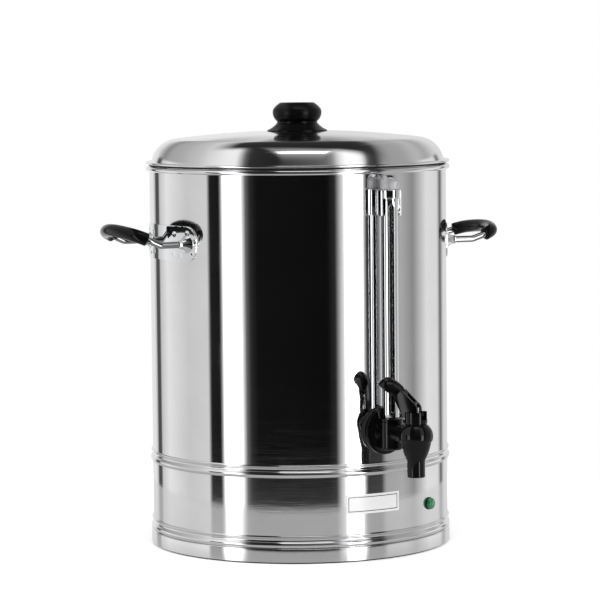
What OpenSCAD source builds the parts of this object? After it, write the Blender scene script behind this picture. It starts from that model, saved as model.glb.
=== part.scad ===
// Catering coffee urn: a percolator vessel on a heated base, with a lever tap, a sight gauge,
// two fixed side handles and a lid that lifts off.
// Millimetres. The origin is on the vessel's axis, on the surface that the urn stands on.
// +Z is up and the tap points towards -Y.

/* [Vessel] */
// Outer radius of the vessel's wall
vessel_r = 146; // [136:1:160]
// Height of the vessel from the base's top edge to the top of its rim
vessel_h = 278.5; // [260:0.5:320]
// Sheet thickness of the vessel, base, lid and basket
sheet = 1.2; // [0.8:0.1:1.5]
// Depth of the vessel's foot inside the base
plug_h = 6; // [4:0.5:10]
// Radius of the rolled rim
rim_roll_r = 2.4; // [2:0.1:3]

/* [Base] */
// Height of the base from the table to its top edge
base_h = 94; // [90:1:110]
// Radius of each pressed bead
bead_r = 2.9; // [2.2:0.1:3.2]
// Height from one bead of a pair to the next
bead_pitch = 6.4; // [5.5:0.1:8]
// Height of the plain band at the bottom
band_h = 14.4; // [12:0.2:18]
// How far the band stands proud of the skirt
band_step = 2; // [1:0.1:4]
// Gap between the shell's lower edge and the table
foot_gap = 1.5; // [1:0.1:4]
// Height of the rubber ring that the urn stands on
foot_h = 6; // [5:0.1:8]
// Radial width of the rubber ring
foot_w = 7; // [5:0.5:9]
// Number of screws that hold the bottom plate
plate_screws = 6; // [4:1:8]

/* [Lid] */
// How far the lid's side stands inside the vessel's outer wall
lid_inset = 2; // [1:0.1:4]
// Height of the lid's crown above the vessel's rim
lid_rise = 33.5; // [30:0.5:40]
// Radius of the lid's shallow crown
crown_r = 1000; // [700:10:1500]
// Radius of the lid's rounded shoulder
shoulder_r = 26; // [18:0.5:28]
// Height of the lid's flange
lid_flange_h = 4; // [3:0.1:5]
// How far the flange reaches past the vessel's wall
lid_flange_over = 3.5; // [2:0.1:5]
// Depth of the lid's locating lip inside the vessel
lip_h = 10; // [6:0.5:14]
// Largest radius of the knob
knob_r = 23.5; // [20:0.1:30]
// Radius of the knob's flared foot
knob_foot_r = 29.5; // [26:0.1:34]
// Height of the knob
knob_h = 27.6; // [26:0.1:34]

/* [Handles] */
// Direction of the left handle, in degrees from +X
left_handle_angle = 174.3; // [165:0.1:190]
// Direction of the right handle, in degrees from +X
right_handle_angle = -13.7; // [-20:0.1:10]
// Height of the left handle's arms below the rim's top
left_handle_drop = 71.5; // [50:0.5:120]
// Height of the right handle's arms below the rim's top
right_handle_drop = 76; // [50:0.5:120]
// Half of the distance between a handle's two arms
arm_half = 42.5; // [38:0.5:46]
// Radius of the steel rod
rod_r = 3.2; // [2.8:0.1:3.6]
// Level length of each arm, from the vessel's wall line to the bend
arm_out = 22.5; // [18:0.5:30]
// Upward tilt of the left grip's plane
left_grip_tilt = 24; // [10:1:30]
// Upward tilt of the right grip's plane
right_grip_tilt = 18; // [10:1:30]
// Length from the bend to the corner's start
grip_lead = 9; // [5:0.5:12]
// Radius of the grip's corners
grip_corner_r = 18; // [14:0.5:22]
// Radius of the grip's bow
grip_bow_r = 80; // [70:1:120]
// Radius of the moulded grip
grip_r = 6.3; // [5.5:0.1:7.5]
// Half length of the welded handle plate
plate_half = 54.5; // [52:0.5:58]
// Height of the welded handle plate
plate_h = 34; // [28:0.5:40]
// Largest radius of each conical boss
boss_r = 8.5; // [7:0.1:10]
// Length of each conical boss
boss_len = 8; // [6:0.5:10]

/* [Sight gauge] */
// Distance of the gauge's axis from the vessel's wall
gauge_off = 14.2; // [13.5:0.1:18]
// Outer radius of the chromed guard tube
guard_r = 7.6; // [7.4:0.1:8.4]
// Wall of the guard tube
guard_wall = 1.6; // [1:0.1:1.8]
// Width of the guard tube's slot
slot_w = 7.5; // [6:0.5:9]
// Turn of the guard's slot from straight ahead
slot_turn = -14; // [-30:1:30]
// Outer radius of the glass tube
glass_r = 5; // [4.6:0.1:5.2]
// Wall of the glass tube
glass_wall = 1.3; // [1:0.1:1.5]
// Height of the gauge's cap top below the rim's top
gauge_drop = 5.5; // [4:0.5:20]
// Radius of the cap's dome
cap_r = 9; // [8.8:0.1:9.6]
// Height of the cap's dome above its collar
cap_h = 14; // [12:0.5:18]
// Height of the cap's collar
collar_h = 8; // [6:0.5:10]
// Height of the clip that ties the guard to the vessel
clip_h = 15; // [8:0.5:20]

/* [Tap] */
// Height of the tap's shank above the vessel's floor
tap_rise = 36; // [34:0.5:50]
// Distance of the tap's stem from the vessel's wall
stem_off = 54.5; // [53:0.5:62]
// Radius of the flange against the vessel
flange_r = 22.5; // [20:0.5:25]
// Thickness of the flange
flange_t = 4; // [3:0.5:5]
// Thickness of the tap's gaskets
gasket_t = 2; // [1.5:0.1:3]
// Radius of the threaded spigot through the wall
spigot_r = 8; // [7.5:0.1:8.5]
// Radius of the waterway
waterway_r = 5; // [4:0.1:5.5]
// Radius of the gauge's socket
socket_r = 11; // [10.6:0.1:11.6]
// Largest radius of the tap's bell
bell_r = 16.3; // [16:0.1:18]
// Height of the spout below the shank's axis
spout_drop = 38.5; // [34:0.5:46]
// Outer radius of the spout's outlet
spout_r = 8.1; // [7.8:0.1:8.8]
// Radius of the bonnet's slotted collar
bonnet_r = 10.9; // [10.6:0.1:12]
// Radius of the valve stem
stem_r = 3; // [2.5:0.1:3.2]

/* [Lever] */
// Turn of the lever about the stem, away from the line through the gauge
lever_turn = 33; // [30:1:40]
// Rise of the lever above level when the tap is shut
lever_rise = 43; // [40:1:48]
// Length of the lever from its pin to its tip
lever_len = 45; // [43:0.5:50]
// Radius of the lever's rounded paddle
paddle_r = 10; // [8:0.1:10.5]
// Thickness of each cheek of the lever
cheek_t = 3; // [2.5:0.1:3.2]
// Radius of the eccentric hub that lifts the stem
hub_r = 8.5; // [8:0.1:9]
// Distance of the hub's centre from the pin
hub_throw = 5; // [4:0.1:5.2]
// Angle that the lever is pressed through
lever_travel = 35; // [25:1:36]

/* [Pump and basket] */
// Radius of the pump's tube
pump_r = 6; // [5:0.1:7]
// Height of the pump tube's top below the rim's top
pump_drop = 20; // [15:1:30]
// Radius of the pump's bell foot
pump_foot_r = 32; // [26:1:40]
// Radius of the coffee basket
basket_r = 72; // [60:1:85]
// Height of the coffee basket
basket_h = 90; // [70:1:100]
// Height of the basket cover's top below the rim's top
cover_drop = 46; // [40:1:60]
// Radius of each strainer hole
hole_r = 1.6; // [1.2:0.1:2]

/* [Heater] */
// Radius of the heater's spreader plate
spreader_r = 65; // [60:1:75]
// Thickness of the spreader plate
spreader_t = 6; // [4:0.5:8]
// Radius of the element's ring
element_ring_r = 48; // [44:1:54]
// Radius of the element's sheath
element_r = 4; // [3.5:0.1:4.5]
// Radius of the heater's stud
stud_r = 4; // [3.5:0.1:5]

/* [Rear fittings] */
// Height of the power inlet and switch above the table
rear_z = 50; // [48:1:56]
// Angle from the inlet to the switch about the vessel's axis
switch_angle = 22; // [19:1:30]
// Width of the inlet's socket
socket_w = 24; // [22:0.5:25]
// Height of the inlet's socket
socket_h = 16.5; // [15:0.5:18]
// Distance between the inlet's screws
inlet_screw_gap = 40; // [38:0.5:42]
// Angle that the rocker switch turns through
rocker_travel = 20; // [16:1:22]

/* [Lamp] */
// Direction of the lamp, in degrees from +X
lamp_angle = -64.3; // [-70:0.1:-55]
// Height of the lamp above the table
lamp_z = 46; // [42:0.5:60]
// Radius of the lamp's lens
lens_r = 5.6; // [5:0.1:6.5]

/* [Fits] */
// Gap between assembled pieces that are fixed together
fit_gap = 0.15; // [0.1:0.05:0.25]
// Gap between pieces that lift apart
lift_gap = 0.4; // [0.3:0.05:0.6]
// Radial clearance of a turning or sliding fit
run_gap = 0.05; // [0.03:0.01:0.1]

/* [Hidden] */
$fn = 96;

front = -90;
rear = 90;

// Heights and radii that several pieces share
floor_z = base_h - plug_h;
floor_top = floor_z + sheet;
rim_z = base_h + vessel_h;
vessel_in_r = vessel_r - sheet;
plug_r = vessel_in_r - fit_gap;
past = 20;
cut = 1;

// Base
bead_heights = [
    band_h + bead_r, band_h + bead_r + bead_pitch,
    base_h - bead_r - bead_pitch, base_h - bead_r
];
band_in_r = vessel_r + band_step - sheet;
plate_flange_w = 18;
flange_in_r = band_in_r - plate_flange_w;
plate_z = foot_h + sheet;
plate_r = vessel_in_r - 2;
foot_out_r = band_in_r - 1.5;
screw_ring_r = flange_in_r + 4.5;
plate_screw_r = 1.9;
plate_screw_head_r = 3;
plate_screw_head_h = 2.2;
weld_nut_r = 4.5;
weld_nut_h = 4;
vent_r = 4;
vents = 12;
vent_ring_r = 95;

// Lid
lid_z = rim_z + lift_gap;
crown_z = rim_z + lid_rise;
lid_r = vessel_r - lid_inset;
shoulder_z = crown_z - crown_r
    + sqrt(pow(crown_r - shoulder_r, 2) - pow(lid_r - shoulder_r, 2));
lid_flange_r = vessel_r + lid_flange_over;
lip_r = vessel_in_r - 1.2;
knob_bore_r = 3.1;
knob_screw_r = knob_bore_r - fit_gap;
knob_screw_head_r = 5;
knob_screw_head_h = 3.5;
knob_washer_r = 10;
knob_washer_t = 1.5;
knob_bulge_r = 9.8;
knob_neck_z = crown_z + knob_h - 2 * knob_bulge_r;
knob_flare_r = 13.1;
knob_flare_out = 3.5;
knob_flare_up = 4.7;
knob_root = 2;
knob_roof = 6;
knob_screw_roof = 12;

// Handles
left_handle = [left_handle_angle, rim_z - left_handle_drop, left_grip_tilt];
right_handle = [right_handle_angle, rim_z - right_handle_drop, right_grip_tilt];
plate_t = 1.2;
plate_corner_r = 14;
plate_out_r = vessel_r + fit_gap + plate_t;
boss_x = sqrt(pow(plate_out_r, 2) - pow(arm_half, 2));
bend_x = vessel_r + arm_out;
bow_half = asin((arm_half - grip_corner_r) / (grip_bow_r - grip_corner_r));
bow_s = grip_lead - (grip_bow_r - grip_corner_r) * cos(bow_half);
grip_skip = 16;
grip_open = 10;
rod_in = 3;
joint_full = 0.08;
joint_trim = 0.2;
corner_trim = joint_trim / grip_corner_r * 180 / PI;
bow_trim = joint_trim / grip_bow_r * 180 / PI;
boss_tip_r = rod_r + 1;
boss_root = 4;

// Sight gauge
gauge_r = vessel_r + gauge_off;
tap_z = floor_z + tap_rise;
socket_up = 13;
socket_down = 17;
socket_top = tap_z + socket_up;
socket_bottom = tap_z - socket_down;
glass_seat = tap_z + waterway_r + 2;
cap_top = rim_z - gauge_drop;
collar_top = cap_top - cap_h;
guard_top = collar_top - collar_h;
glass_top = collar_top - 2;
guard_in_r = guard_r - guard_wall;
slot_margin = 6;
collar_r = cap_r + 1;
cap_round_r = 6;
seal_r = 0.85;
seal_ring_r = glass_r + seal_r + run_gap;
seal_bore_r = seal_ring_r + seal_r + run_gap;
clip_t = 1.6;
clip_foot_w = 7;
clip_foot_t = 4;
clip_open = 150;

// Tap
shank_r = 9;
spigot_in = 28;
nut_h = 8;
nut_across = 27;
inner_gasket_r = 15;
nut_face_x = sqrt(pow(vessel_in_r, 2) - pow(inner_gasket_r, 2)) - gasket_t;
stem_x = vessel_r + stem_off;
flange_x = vessel_r + gasket_t;
hub_taper_r = 14;
hub_taper_t = 3;
inlet_r = 10.5;
inlet_x = stem_x - bell_r - 3;
spout_z = tap_z - spout_drop;
seam_z = tap_z - 2.5;
seam_step = 0.6;
cone_r = bell_r - 1;
spout_h = 16;
cone_z = spout_z + spout_h;
cone_end_r = spout_r + 1.2;
bell_round_r = 13.8;
body_rise = 12;
body_top = tap_z + body_rise;
chamber_r = 9.8;
chamber_z = tap_z - 13;
outlet_r = spout_r - 2.3;
seat_r = 6.5;
seat_z = chamber_z - 4;
bonnet_top = body_top + 11;
plug_depth = 6;
spring_seat_z = body_top - plug_depth;
pin_z = bonnet_top;
pin_r = 1.5;

// Lever
stem_clear = 0.4;
cheek_in = stem_r + stem_clear;
cheek_out = cheek_in + cheek_t;
hub_phi = lever_travel / 2;
hub_u = hub_throw * cos(hub_phi);
hub_v = hub_throw * sin(hub_phi);
shelf_z = pin_z + hub_v - hub_r - 0.3;
slot_half = cheek_out + 0.5;
pin_boss_r = 4;
arm_depth = 10.2;
arm_lift = -0.2;
arm_start = 4;
web_s = 21;
web_lap = 2;
arch_r = 100;
arch_s = 22;
arch_lift = arm_depth / 2 + arm_lift;
paddle_t = 8.5;

// Valve
cup_r = 8.4;
cup_taper = 1.5;
cup_h = 4;
cup_floor = 1;
seat_gap = 0.3;
cup_z = seat_z
    + (cup_r - cup_taper + seat_gap - seat_r) * (chamber_z - seat_z) / (chamber_r - seat_r);
stem_disc_r = 7.5;
stem_disc_t = 2;
stem_disc_z = cup_z + cup_h;
stem_top = pin_z + 4;
cup_bore_r = 2;
spring_wire_r = 0.6;
spring_coil_r = stem_r + 2.2;
spring_turns = 6;
spring_bottom = stem_disc_z + stem_disc_t + spring_wire_r + fit_gap;
spring_top = spring_seat_z - spring_wire_r - fit_gap;
spring_steps = 16;
spring_sides = 6;

// Pump and basket
cover_z = rim_z - cover_drop;
basket_z = cover_z - basket_h - lift_gap;
pump_top = rim_z - pump_drop;
pump_wall = 1.2;
pump_foot_z = floor_top + 0.3;
pump_foot_h = 22;
pump_collar_w = 6;
pump_collar_r = pump_r + pump_collar_w;
pump_collar_h = 3;
notch_w = 8;
notch_h = 5;
sleeve_in_r = pump_r + lift_gap;
sleeve_r = sleeve_in_r + sheet;
sleeve_drop = 2;
cover_rim_h = 8;
cover_in_r = basket_r + lift_gap;
basket_ring_r = 22;
basket_ring_pitch = 12;
basket_rings = [for (i = [0 : 3]) basket_ring_r + basket_ring_pitch * i];
cover_ring_r = 20;
cover_ring_pitch = 16;
cover_rings = [for (i = [0 : 2]) cover_ring_r + cover_ring_pitch * i];
hole_pitch = 12;

// Heater
spreader_z = floor_z - spreader_t;
element_z = spreader_z - element_r - fit_gap;
element_open = 30;
clamp_t = 2;
clamp_w = 16;
clamp_z = element_z - element_r - fit_gap - clamp_t;
clamp_over = 8;
heater_nut_h = 6;
heater_nut_across = 2 * stud_r + 5;
stud_z = clamp_z - heater_nut_h - 4;
cold_end_h = 12;
cold_end_pin_r = 1.5;
cold_end_pin_h = 8;
sensor_off = 28;
sensor_r = 8.5;
sensor_h = 10;
sensor_flange_r = 11;
sensor_flange_t = 1.5;
cutout_r = 6.5;
cutout_h = 9;
sensor_spade_gap = 9;
cutout_spade_gap = 7;
spade_w = 6.3;
spade_t = 0.8;
spade_h = 9;
block_size = [42, 18, 16];
block_at = [-45, 55];
block_ways = 3;
block_screw_r = 3;
block_screw_h = 6;
block_wire_r = 2.2;

// Rear fittings
inlet_wall = 2;
inlet_depth = 20;
inlet_back = 3;
inlet_plate_w = inlet_screw_gap + 10;
inlet_plate_h = socket_h + 10;
inlet_plate_t = 3.5;
inlet_hole_w = socket_w + 2 * inlet_wall + 2 * fit_gap;
inlet_hole_h = socket_h + 2 * inlet_wall + 2 * fit_gap;
inlet_face_x = vessel_r + inlet_plate_t;
inlet_screw_r = 1.6;
inlet_screw_head_r = 2.8;
inlet_screw_head_h = 1.8;
inlet_screw_in = 8;
inlet_pin_w = 2;
inlet_pin_h = 4;
inlet_pin_len = 15;
inlet_pin_tail = 6;
inlet_pin_gap = 7;
inlet_pin_drop = 2;
switch_w = 13;
switch_h = 20;
switch_depth = 20;
switch_wall = 1.1;
switch_bezel_t = 2;
switch_bezel_over = 1.5;
rocker_r = 8.4;
rocker_w = switch_w - 2 * switch_wall - 0.7;
rocker_pin_r = 1.5;
rocker_in = 1.5;
rocker_face = 60;
rocker_dip = 1.2;
rocker_skirt = 1.8;

// Lamp
lamp_hole_r = 4.6;
lamp_body_r = lamp_hole_r - fit_gap;
lamp_bezel_r = lens_r + 0.5;
lamp_bezel_t = 1.2;
lens_h = 4;
lens_round_r = 3;
lamp_depth = 16;
lamp_nut_r = 8;
lamp_nut_h = 4;

steel = "silver";
chrome = "gainsboro";
black = [0.09, 0.09, 0.10];
rubber = [0.15, 0.15, 0.15];
silicone = [0.85, 0.83, 0.78];

// Places children on the vessel at an angle: local +X points outwards and +Z up
module facing(angle, out, z) {
    rotate([0, 0, angle]) translate([out, 0, z]) children();
}

// A cylinder along local +X
module outward(r, h) {
    rotate([0, 90, 0]) cylinder(r = r, h = h);
}

module outward_cone(r1, r2, h) {
    rotate([0, 90, 0]) cylinder(r1 = r1, r2 = r2, h = h);
}

module pipe(r_out, r_in, h) {
    difference() {
        cylinder(r = r_out, h = h);
        translate([0, 0, -cut]) cylinder(r = r_in, h = h + 2 * cut);
    }
}

// A round column on the vessel's axis, used to cut a curved seat
module wall_column(r) {
    translate([0, 0, -past]) cylinder(r = r, h = rim_z + 2 * past, $fn = 360);
}

module hexagon(across, h) {
    cylinder(d = across / cos(30), h = h, $fn = 6);
}

module ring_of_holes(ring_r, count, z, h) {
    for (i = [0 : count - 1])
        rotate([0, 0, 360 * i / count]) translate([ring_r, 0, z])
            cylinder(r = hole_r, h = h, $fn = 24);
}

module strainer(rings, z, h) {
    for (ring = rings)
        ring_of_holes(ring, floor(2 * PI * ring / hole_pitch), z, h);
}

// Vessel
module vessel_section() {
    translate([vessel_in_r, base_h]) square([sheet, vessel_h - rim_roll_r]);
    translate([plug_r - sheet, base_h]) square([vessel_r - plug_r + sheet, sheet]);
    translate([plug_r - sheet, floor_z]) square([sheet, plug_h + sheet]);
    translate([0, floor_z]) square([plug_r, sheet]);
    translate([vessel_in_r + rim_roll_r, rim_z - rim_roll_r]) circle(rim_roll_r);
}

module tank() {
    color(steel) difference() {
        union() {
            rotate_extrude() vessel_section();
            translate([0, 0, stud_z]) cylinder(r = stud_r, h = floor_z - stud_z + sheet / 2);
        }
        facing(front, vessel_r - past, tap_z) outward(spigot_r + fit_gap, 2 * past);
    }
}

// Base
module base_section() {
    difference() {
        union() {
            translate([vessel_in_r, band_h - sheet]) square([sheet, base_h - band_h + sheet]);
            for (z = bead_heights) translate([vessel_in_r, z]) circle(bead_r);
        }
        for (z = bead_heights) translate([vessel_in_r, z]) circle(bead_r - sheet);
        square([vessel_in_r, base_h]);
    }
    translate([vessel_in_r, band_h - sheet]) square([sheet + band_step, sheet]);
    translate([band_in_r, foot_gap]) square([sheet, band_h - foot_gap]);
    translate([flange_in_r, foot_h]) square([band_in_r + sheet / 2 - flange_in_r, sheet]);
}

module at_plate_screws() {
    for (i = [0 : plate_screws - 1])
        rotate([0, 0, 360 * i / plate_screws]) translate([screw_ring_r, 0, 0]) children();
}

module base_shell() {
    color(steel) difference() {
        rotate_extrude() base_section();
        at_plate_screws() translate([0, 0, foot_h - cut])
            cylinder(r = plate_screw_r + fit_gap, h = sheet + 2 * cut);
        facing(lamp_angle, vessel_r - past, lamp_z) outward(lamp_hole_r, 2 * past);
        facing(rear, vessel_r, rear_z) cube([2 * past, inlet_hole_w, inlet_hole_h], center = true);
        facing(rear + switch_angle, vessel_r, rear_z) cube([2 * past, switch_w, switch_h], center = true);
        at_inlet_screws() translate([-past, 0, 0]) outward(inlet_screw_r + fit_gap, 2 * past);
    }
}

module bottom_plate() {
    color(steel) difference() {
        union() {
            translate([0, 0, plate_z]) cylinder(r = plate_r, h = sheet);
            at_plate_screws() translate([0, 0, plate_z]) cylinder(r = weld_nut_r, h = sheet + weld_nut_h);
        }
        at_plate_screws() translate([0, 0, plate_z - cut])
            cylinder(r = plate_screw_r + fit_gap, h = sheet + weld_nut_h + 2 * cut);
        for (i = [0 : vents - 1])
            rotate([0, 0, 360 * (i + 0.5) / vents]) translate([vent_ring_r, 0, plate_z - cut])
                cylinder(r = vent_r, h = sheet + 2 * cut);
    }
}

module bottom_screws() {
    color(chrome) at_plate_screws() {
        translate([0, 0, foot_h - plate_screw_head_h])
            cylinder(r = plate_screw_head_r, h = plate_screw_head_h);
        translate([0, 0, foot_h - cut]) cylinder(r = plate_screw_r, h = sheet * 2 + weld_nut_h + cut);
    }
}

module foot_ring() {
    color(rubber) pipe(foot_out_r, foot_out_r - foot_w, foot_h);
}

// Handles: each is a welded plate, two bosses, a bent rod and a moulded grip
// A bent tube is straight and curved lengths that meet in slightly fuller ball joints
module joint_ball(r) {
    sphere(r + joint_full, $fn = 48);
}

module bent_path(r, skip) {
    for (side = [-1, 1])
        translate([grip_lead, side * (arm_half - grip_corner_r), 0]) {
            rotate([0, 0, side > 0 ? bow_half + corner_trim : skip - 90])
                rotate_extrude(angle = 90 - bow_half - skip - corner_trim)
                    translate([grip_corner_r, 0]) circle(r, $fn = 48);
            rotate([0, 0, side * bow_half]) translate([grip_corner_r, 0, 0]) joint_ball(r);
        }
    translate([bow_s, 0, 0]) rotate([0, 0, bow_trim - bow_half])
        rotate_extrude(angle = 2 * (bow_half - bow_trim))
            translate([grip_bow_r, 0]) circle(r, $fn = 48);
}

// A handle is given as its direction, its arms' height and its grip's tilt
module at_handle(handle) {
    facing(handle[0], 0, handle[1]) children();
}

module in_grip_plane(handle) {
    at_handle(handle) translate([bend_x, 0, 0]) rotate([0, -handle[2], 0]) children();
}

module plate_outline() {
    half_w = plate_half - plate_corner_r;
    half_h = plate_h / 2 - plate_corner_r;
    square([2 * plate_half, 2 * half_h], center = true);
    square([2 * half_w, plate_h], center = true);
    for (x = [-half_w, half_w], y = [-half_h, half_h])
        translate([x, y]) circle(plate_corner_r);
}

module handle_plate(handle) {
    color(chrome) at_handle(handle) intersection() {
        translate([0, 0, -plate_h]) pipe(plate_out_r, vessel_r + fit_gap, 2 * plate_h);
        rotate([90, 0, 90]) linear_extrude(vessel_r + past) plate_outline();
    }
}

module handle_bosses(handle) {
    color(chrome) difference() {
        at_handle(handle) for (side = [-1, 1])
            translate([boss_x - boss_root, side * arm_half, 0]) difference() {
                union() {
                    outward(boss_r, boss_root);
                    translate([boss_root, 0, 0]) outward_cone(boss_r, boss_tip_r, boss_len);
                }
                translate([-cut, 0, 0]) outward(rod_r + fit_gap, boss_root + boss_len + 2 * cut);
            }
        wall_column(plate_out_r + fit_gap);
    }
}

module handle_rod(handle) {
    start = boss_x + rod_in;
    color(chrome) {
        for (side = [-1, 1]) {
            at_handle(handle) translate([start, side * arm_half, 0])
                outward(rod_r, bend_x - joint_trim - start);
            at_handle(handle) translate([bend_x, side * arm_half, 0]) joint_ball(rod_r);
            in_grip_plane(handle) translate([joint_trim, side * arm_half, 0])
                outward(rod_r, grip_lead - 2 * joint_trim);
            in_grip_plane(handle) translate([grip_lead, side * arm_half, 0]) joint_ball(rod_r);
        }
        in_grip_plane(handle) bent_path(rod_r, corner_trim);
    }
}

module handle_grip(handle) {
    color(black) in_grip_plane(handle) difference() {
        bent_path(grip_r, grip_skip);
        bent_path(rod_r + fit_gap, grip_skip - grip_open);
    }
}

module left_handle_plate() handle_plate(left_handle);
module left_handle_bosses() handle_bosses(left_handle);
module left_handle_rod() handle_rod(left_handle);
module left_handle_grip() handle_grip(left_handle);
module right_handle_plate() handle_plate(right_handle);
module right_handle_bosses() handle_bosses(right_handle);
module right_handle_rod() handle_rod(right_handle);
module right_handle_grip() handle_grip(right_handle);

// Sight gauge
module gauge_glass() {
    color([0.8, 0.9, 0.95, 0.5]) facing(front, gauge_r, glass_seat)
        pipe(glass_r, glass_r - glass_wall, glass_top - glass_seat);
}

module gauge_guard() {
    low = socket_top + slot_margin;
    high = guard_top - slot_margin;
    color(chrome) facing(front, gauge_r, 0) rotate([0, 0, slot_turn]) difference() {
        translate([0, 0, socket_top]) pipe(guard_r, guard_in_r, guard_top - socket_top);
        translate([0, -slot_w / 2, low + slot_w / 2]) cube([past, slot_w, high - low - slot_w]);
        for (z = [low + slot_w / 2, high - slot_w / 2]) translate([0, 0, z]) outward(slot_w / 2, past);
    }
}

module gauge_cap() {
    color(chrome) facing(front, gauge_r, 0) difference() {
        union() {
            translate([0, 0, guard_top]) cylinder(r = collar_r, h = collar_h);
            rotate_extrude() cap_section();
        }
        translate([0, 0, guard_top - cut])
            cylinder(r = seal_bore_r, h = glass_top - guard_top + cut + fit_gap);
        translate([0, 0, guard_top]) cylinder(r = glass_r - glass_wall, h = collar_h + cap_h / 2);
    }
}

module cap_section() {
    translate([0, collar_top - cut]) square([cap_r, cap_h - cap_round_r + cut]);
    translate([0, collar_top]) square([cap_r - cap_round_r, cap_h]);
    intersection() {
        translate([cap_r - cap_round_r, cap_top - cap_round_r]) circle(cap_round_r);
        translate([0, collar_top]) square([cap_r, cap_h]);
    }
}

module gauge_clip() {
    low = guard_top - clip_h;
    ring_in = guard_r + fit_gap;
    color(chrome) difference() {
        facing(front, 0, low) difference() {
            union() {
                translate([gauge_r, 0, 0]) cylinder(r = ring_in + clip_t, h = clip_h);
                translate([vessel_r - cut, -clip_foot_w / 2, 0])
                    cube([gauge_off - ring_in + cut, clip_foot_w, clip_h]);
            }
            translate([gauge_r, 0, -cut]) {
                cylinder(r = ring_in, h = clip_h + 2 * cut);
                linear_extrude(clip_h + 2 * cut) clip_mouth();
            }
        }
        wall_column(vessel_r + fit_gap);
    }
}

module clip_mouth() {
    reach = 2 * collar_r;
    polygon([
        [0, 0], [reach * cos(clip_open / 2), -reach * sin(clip_open / 2)], [reach, -reach],
        [reach, reach], [reach * cos(clip_open / 2), reach * sin(clip_open / 2)]
    ]);
}

module gauge_seals() {
    color(rubber) facing(front, gauge_r, 0)
        for (z = [(glass_seat + socket_top) / 2, guard_top + collar_h / 2])
            translate([0, 0, z]) rotate_extrude() translate([seal_ring_r, 0]) circle(seal_r, $fn = 24);
}

// Tap
module tap_shank() {
    color(black) facing(front, 0, 0) difference() {
        union() {
            translate([vessel_r - spigot_in, 0, tap_z]) outward(spigot_r, spigot_in + gasket_t + cut);
            translate([flange_x, 0, tap_z]) outward(flange_r, flange_t);
            translate([flange_x + flange_t, 0, tap_z]) outward_cone(hub_taper_r, shank_r, hub_taper_t);
            translate([flange_x, 0, tap_z]) outward(shank_r, inlet_x - flange_x);
            translate([gauge_r, 0, socket_bottom]) cylinder(r = socket_r, h = socket_top - socket_bottom);
        }
        translate([vessel_r - spigot_in - cut, 0, tap_z])
            outward(waterway_r, inlet_x - vessel_r + spigot_in + 2 * cut);
        translate([gauge_r, 0, glass_seat]) cylinder(r = seal_bore_r, h = past);
        translate([gauge_r, 0, tap_z]) cylinder(r = glass_r - glass_wall, h = past);
    }
}

module shank_gaskets() {
    color(rubber) {
        difference() {
            facing(front, vessel_r - past / 2, tap_z) difference() {
                outward(flange_r, past / 2 + gasket_t);
                translate([-cut, 0, 0]) outward(spigot_r + fit_gap, past);
            }
            wall_column(vessel_r + fit_gap);
        }
        intersection() {
            facing(front, nut_face_x, tap_z) difference() {
                outward(inner_gasket_r, past);
                translate([-cut, 0, 0]) outward(spigot_r + fit_gap, past + 2 * cut);
            }
            wall_column(vessel_in_r - fit_gap);
        }
    }
}

module shank_nut() {
    color(black) facing(front, nut_face_x - nut_h, tap_z) difference() {
        rotate([0, 90, 0]) hexagon(nut_across, nut_h);
        translate([-cut, 0, 0]) outward(spigot_r + fit_gap, nut_h + 2 * cut);
    }
}

module bell_section() {
    bell_in = bell_r - bell_round_r;
    polygon([[0, spout_z], [spout_r, spout_z], [cone_end_r, cone_z], [cone_r, seam_z], [0, seam_z]]);
    translate([0, seam_z]) square([bell_r - seam_step, seam_step]);
    intersection() {
        union() {
            translate([bell_in, tap_z]) circle(bell_round_r);
            translate([0, seam_z]) square([bell_in, body_top - seam_z]);
        }
        translate([0, seam_z + seam_step / 2]) square([bell_r, body_top - seam_z - seam_step / 2]);
    }
}

module tap_body() {
    color(black) facing(front, 0, 0) difference() {
        union() {
            translate([stem_x, 0, 0]) rotate_extrude() bell_section();
            translate([inlet_x, 0, tap_z]) outward(inlet_r, stem_x - inlet_x);
        }
        translate([inlet_x - cut, 0, tap_z]) outward(waterway_r, stem_x - inlet_x);
        translate([stem_x, 0, chamber_z]) cylinder(r = chamber_r, h = body_top);
        translate([stem_x, 0, seat_z]) cylinder(r1 = seat_r, r2 = chamber_r, h = chamber_z - seat_z);
        translate([stem_x, 0, spout_z - cut]) cylinder(r = outlet_r, h = seat_z - spout_z + 2 * cut);
    }
}

module tap_bonnet() {
    tall = bonnet_top - shelf_z + cut;
    color(black) facing(front, stem_x, 0) rotate([0, 0, 180 + lever_turn]) difference() {
        union() {
            translate([0, 0, body_top]) cylinder(r = bonnet_r, h = bonnet_top - body_top);
            translate([0, 0, spring_seat_z]) cylinder(r = chamber_r - fit_gap, h = plug_depth + cut);
        }
        translate([0, 0, spring_seat_z - cut]) cylinder(r = stem_r + run_gap, h = past + plug_depth);
        translate([-past, -slot_half, shelf_z]) cube([2 * past, 2 * slot_half, tall]);
    }
}

module valve_stem() {
    color(chrome) facing(front, stem_x, 0) rotate([0, 0, 180 + lever_turn]) difference() {
        union() {
            translate([0, 0, stem_disc_z]) cylinder(r = stem_disc_r, h = stem_disc_t);
            translate([0, 0, cup_z + cup_floor + fit_gap]) cylinder(r = cup_bore_r, h = cup_h);
            translate([0, 0, stem_disc_z]) cylinder(r = stem_r, h = stem_top - stem_disc_z);
        }
        translate([0, -past, pin_z]) rotate([-90, 0, 0])
            cylinder(r = pin_r + run_gap, h = 2 * past, $fn = 48);
    }
}

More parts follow.
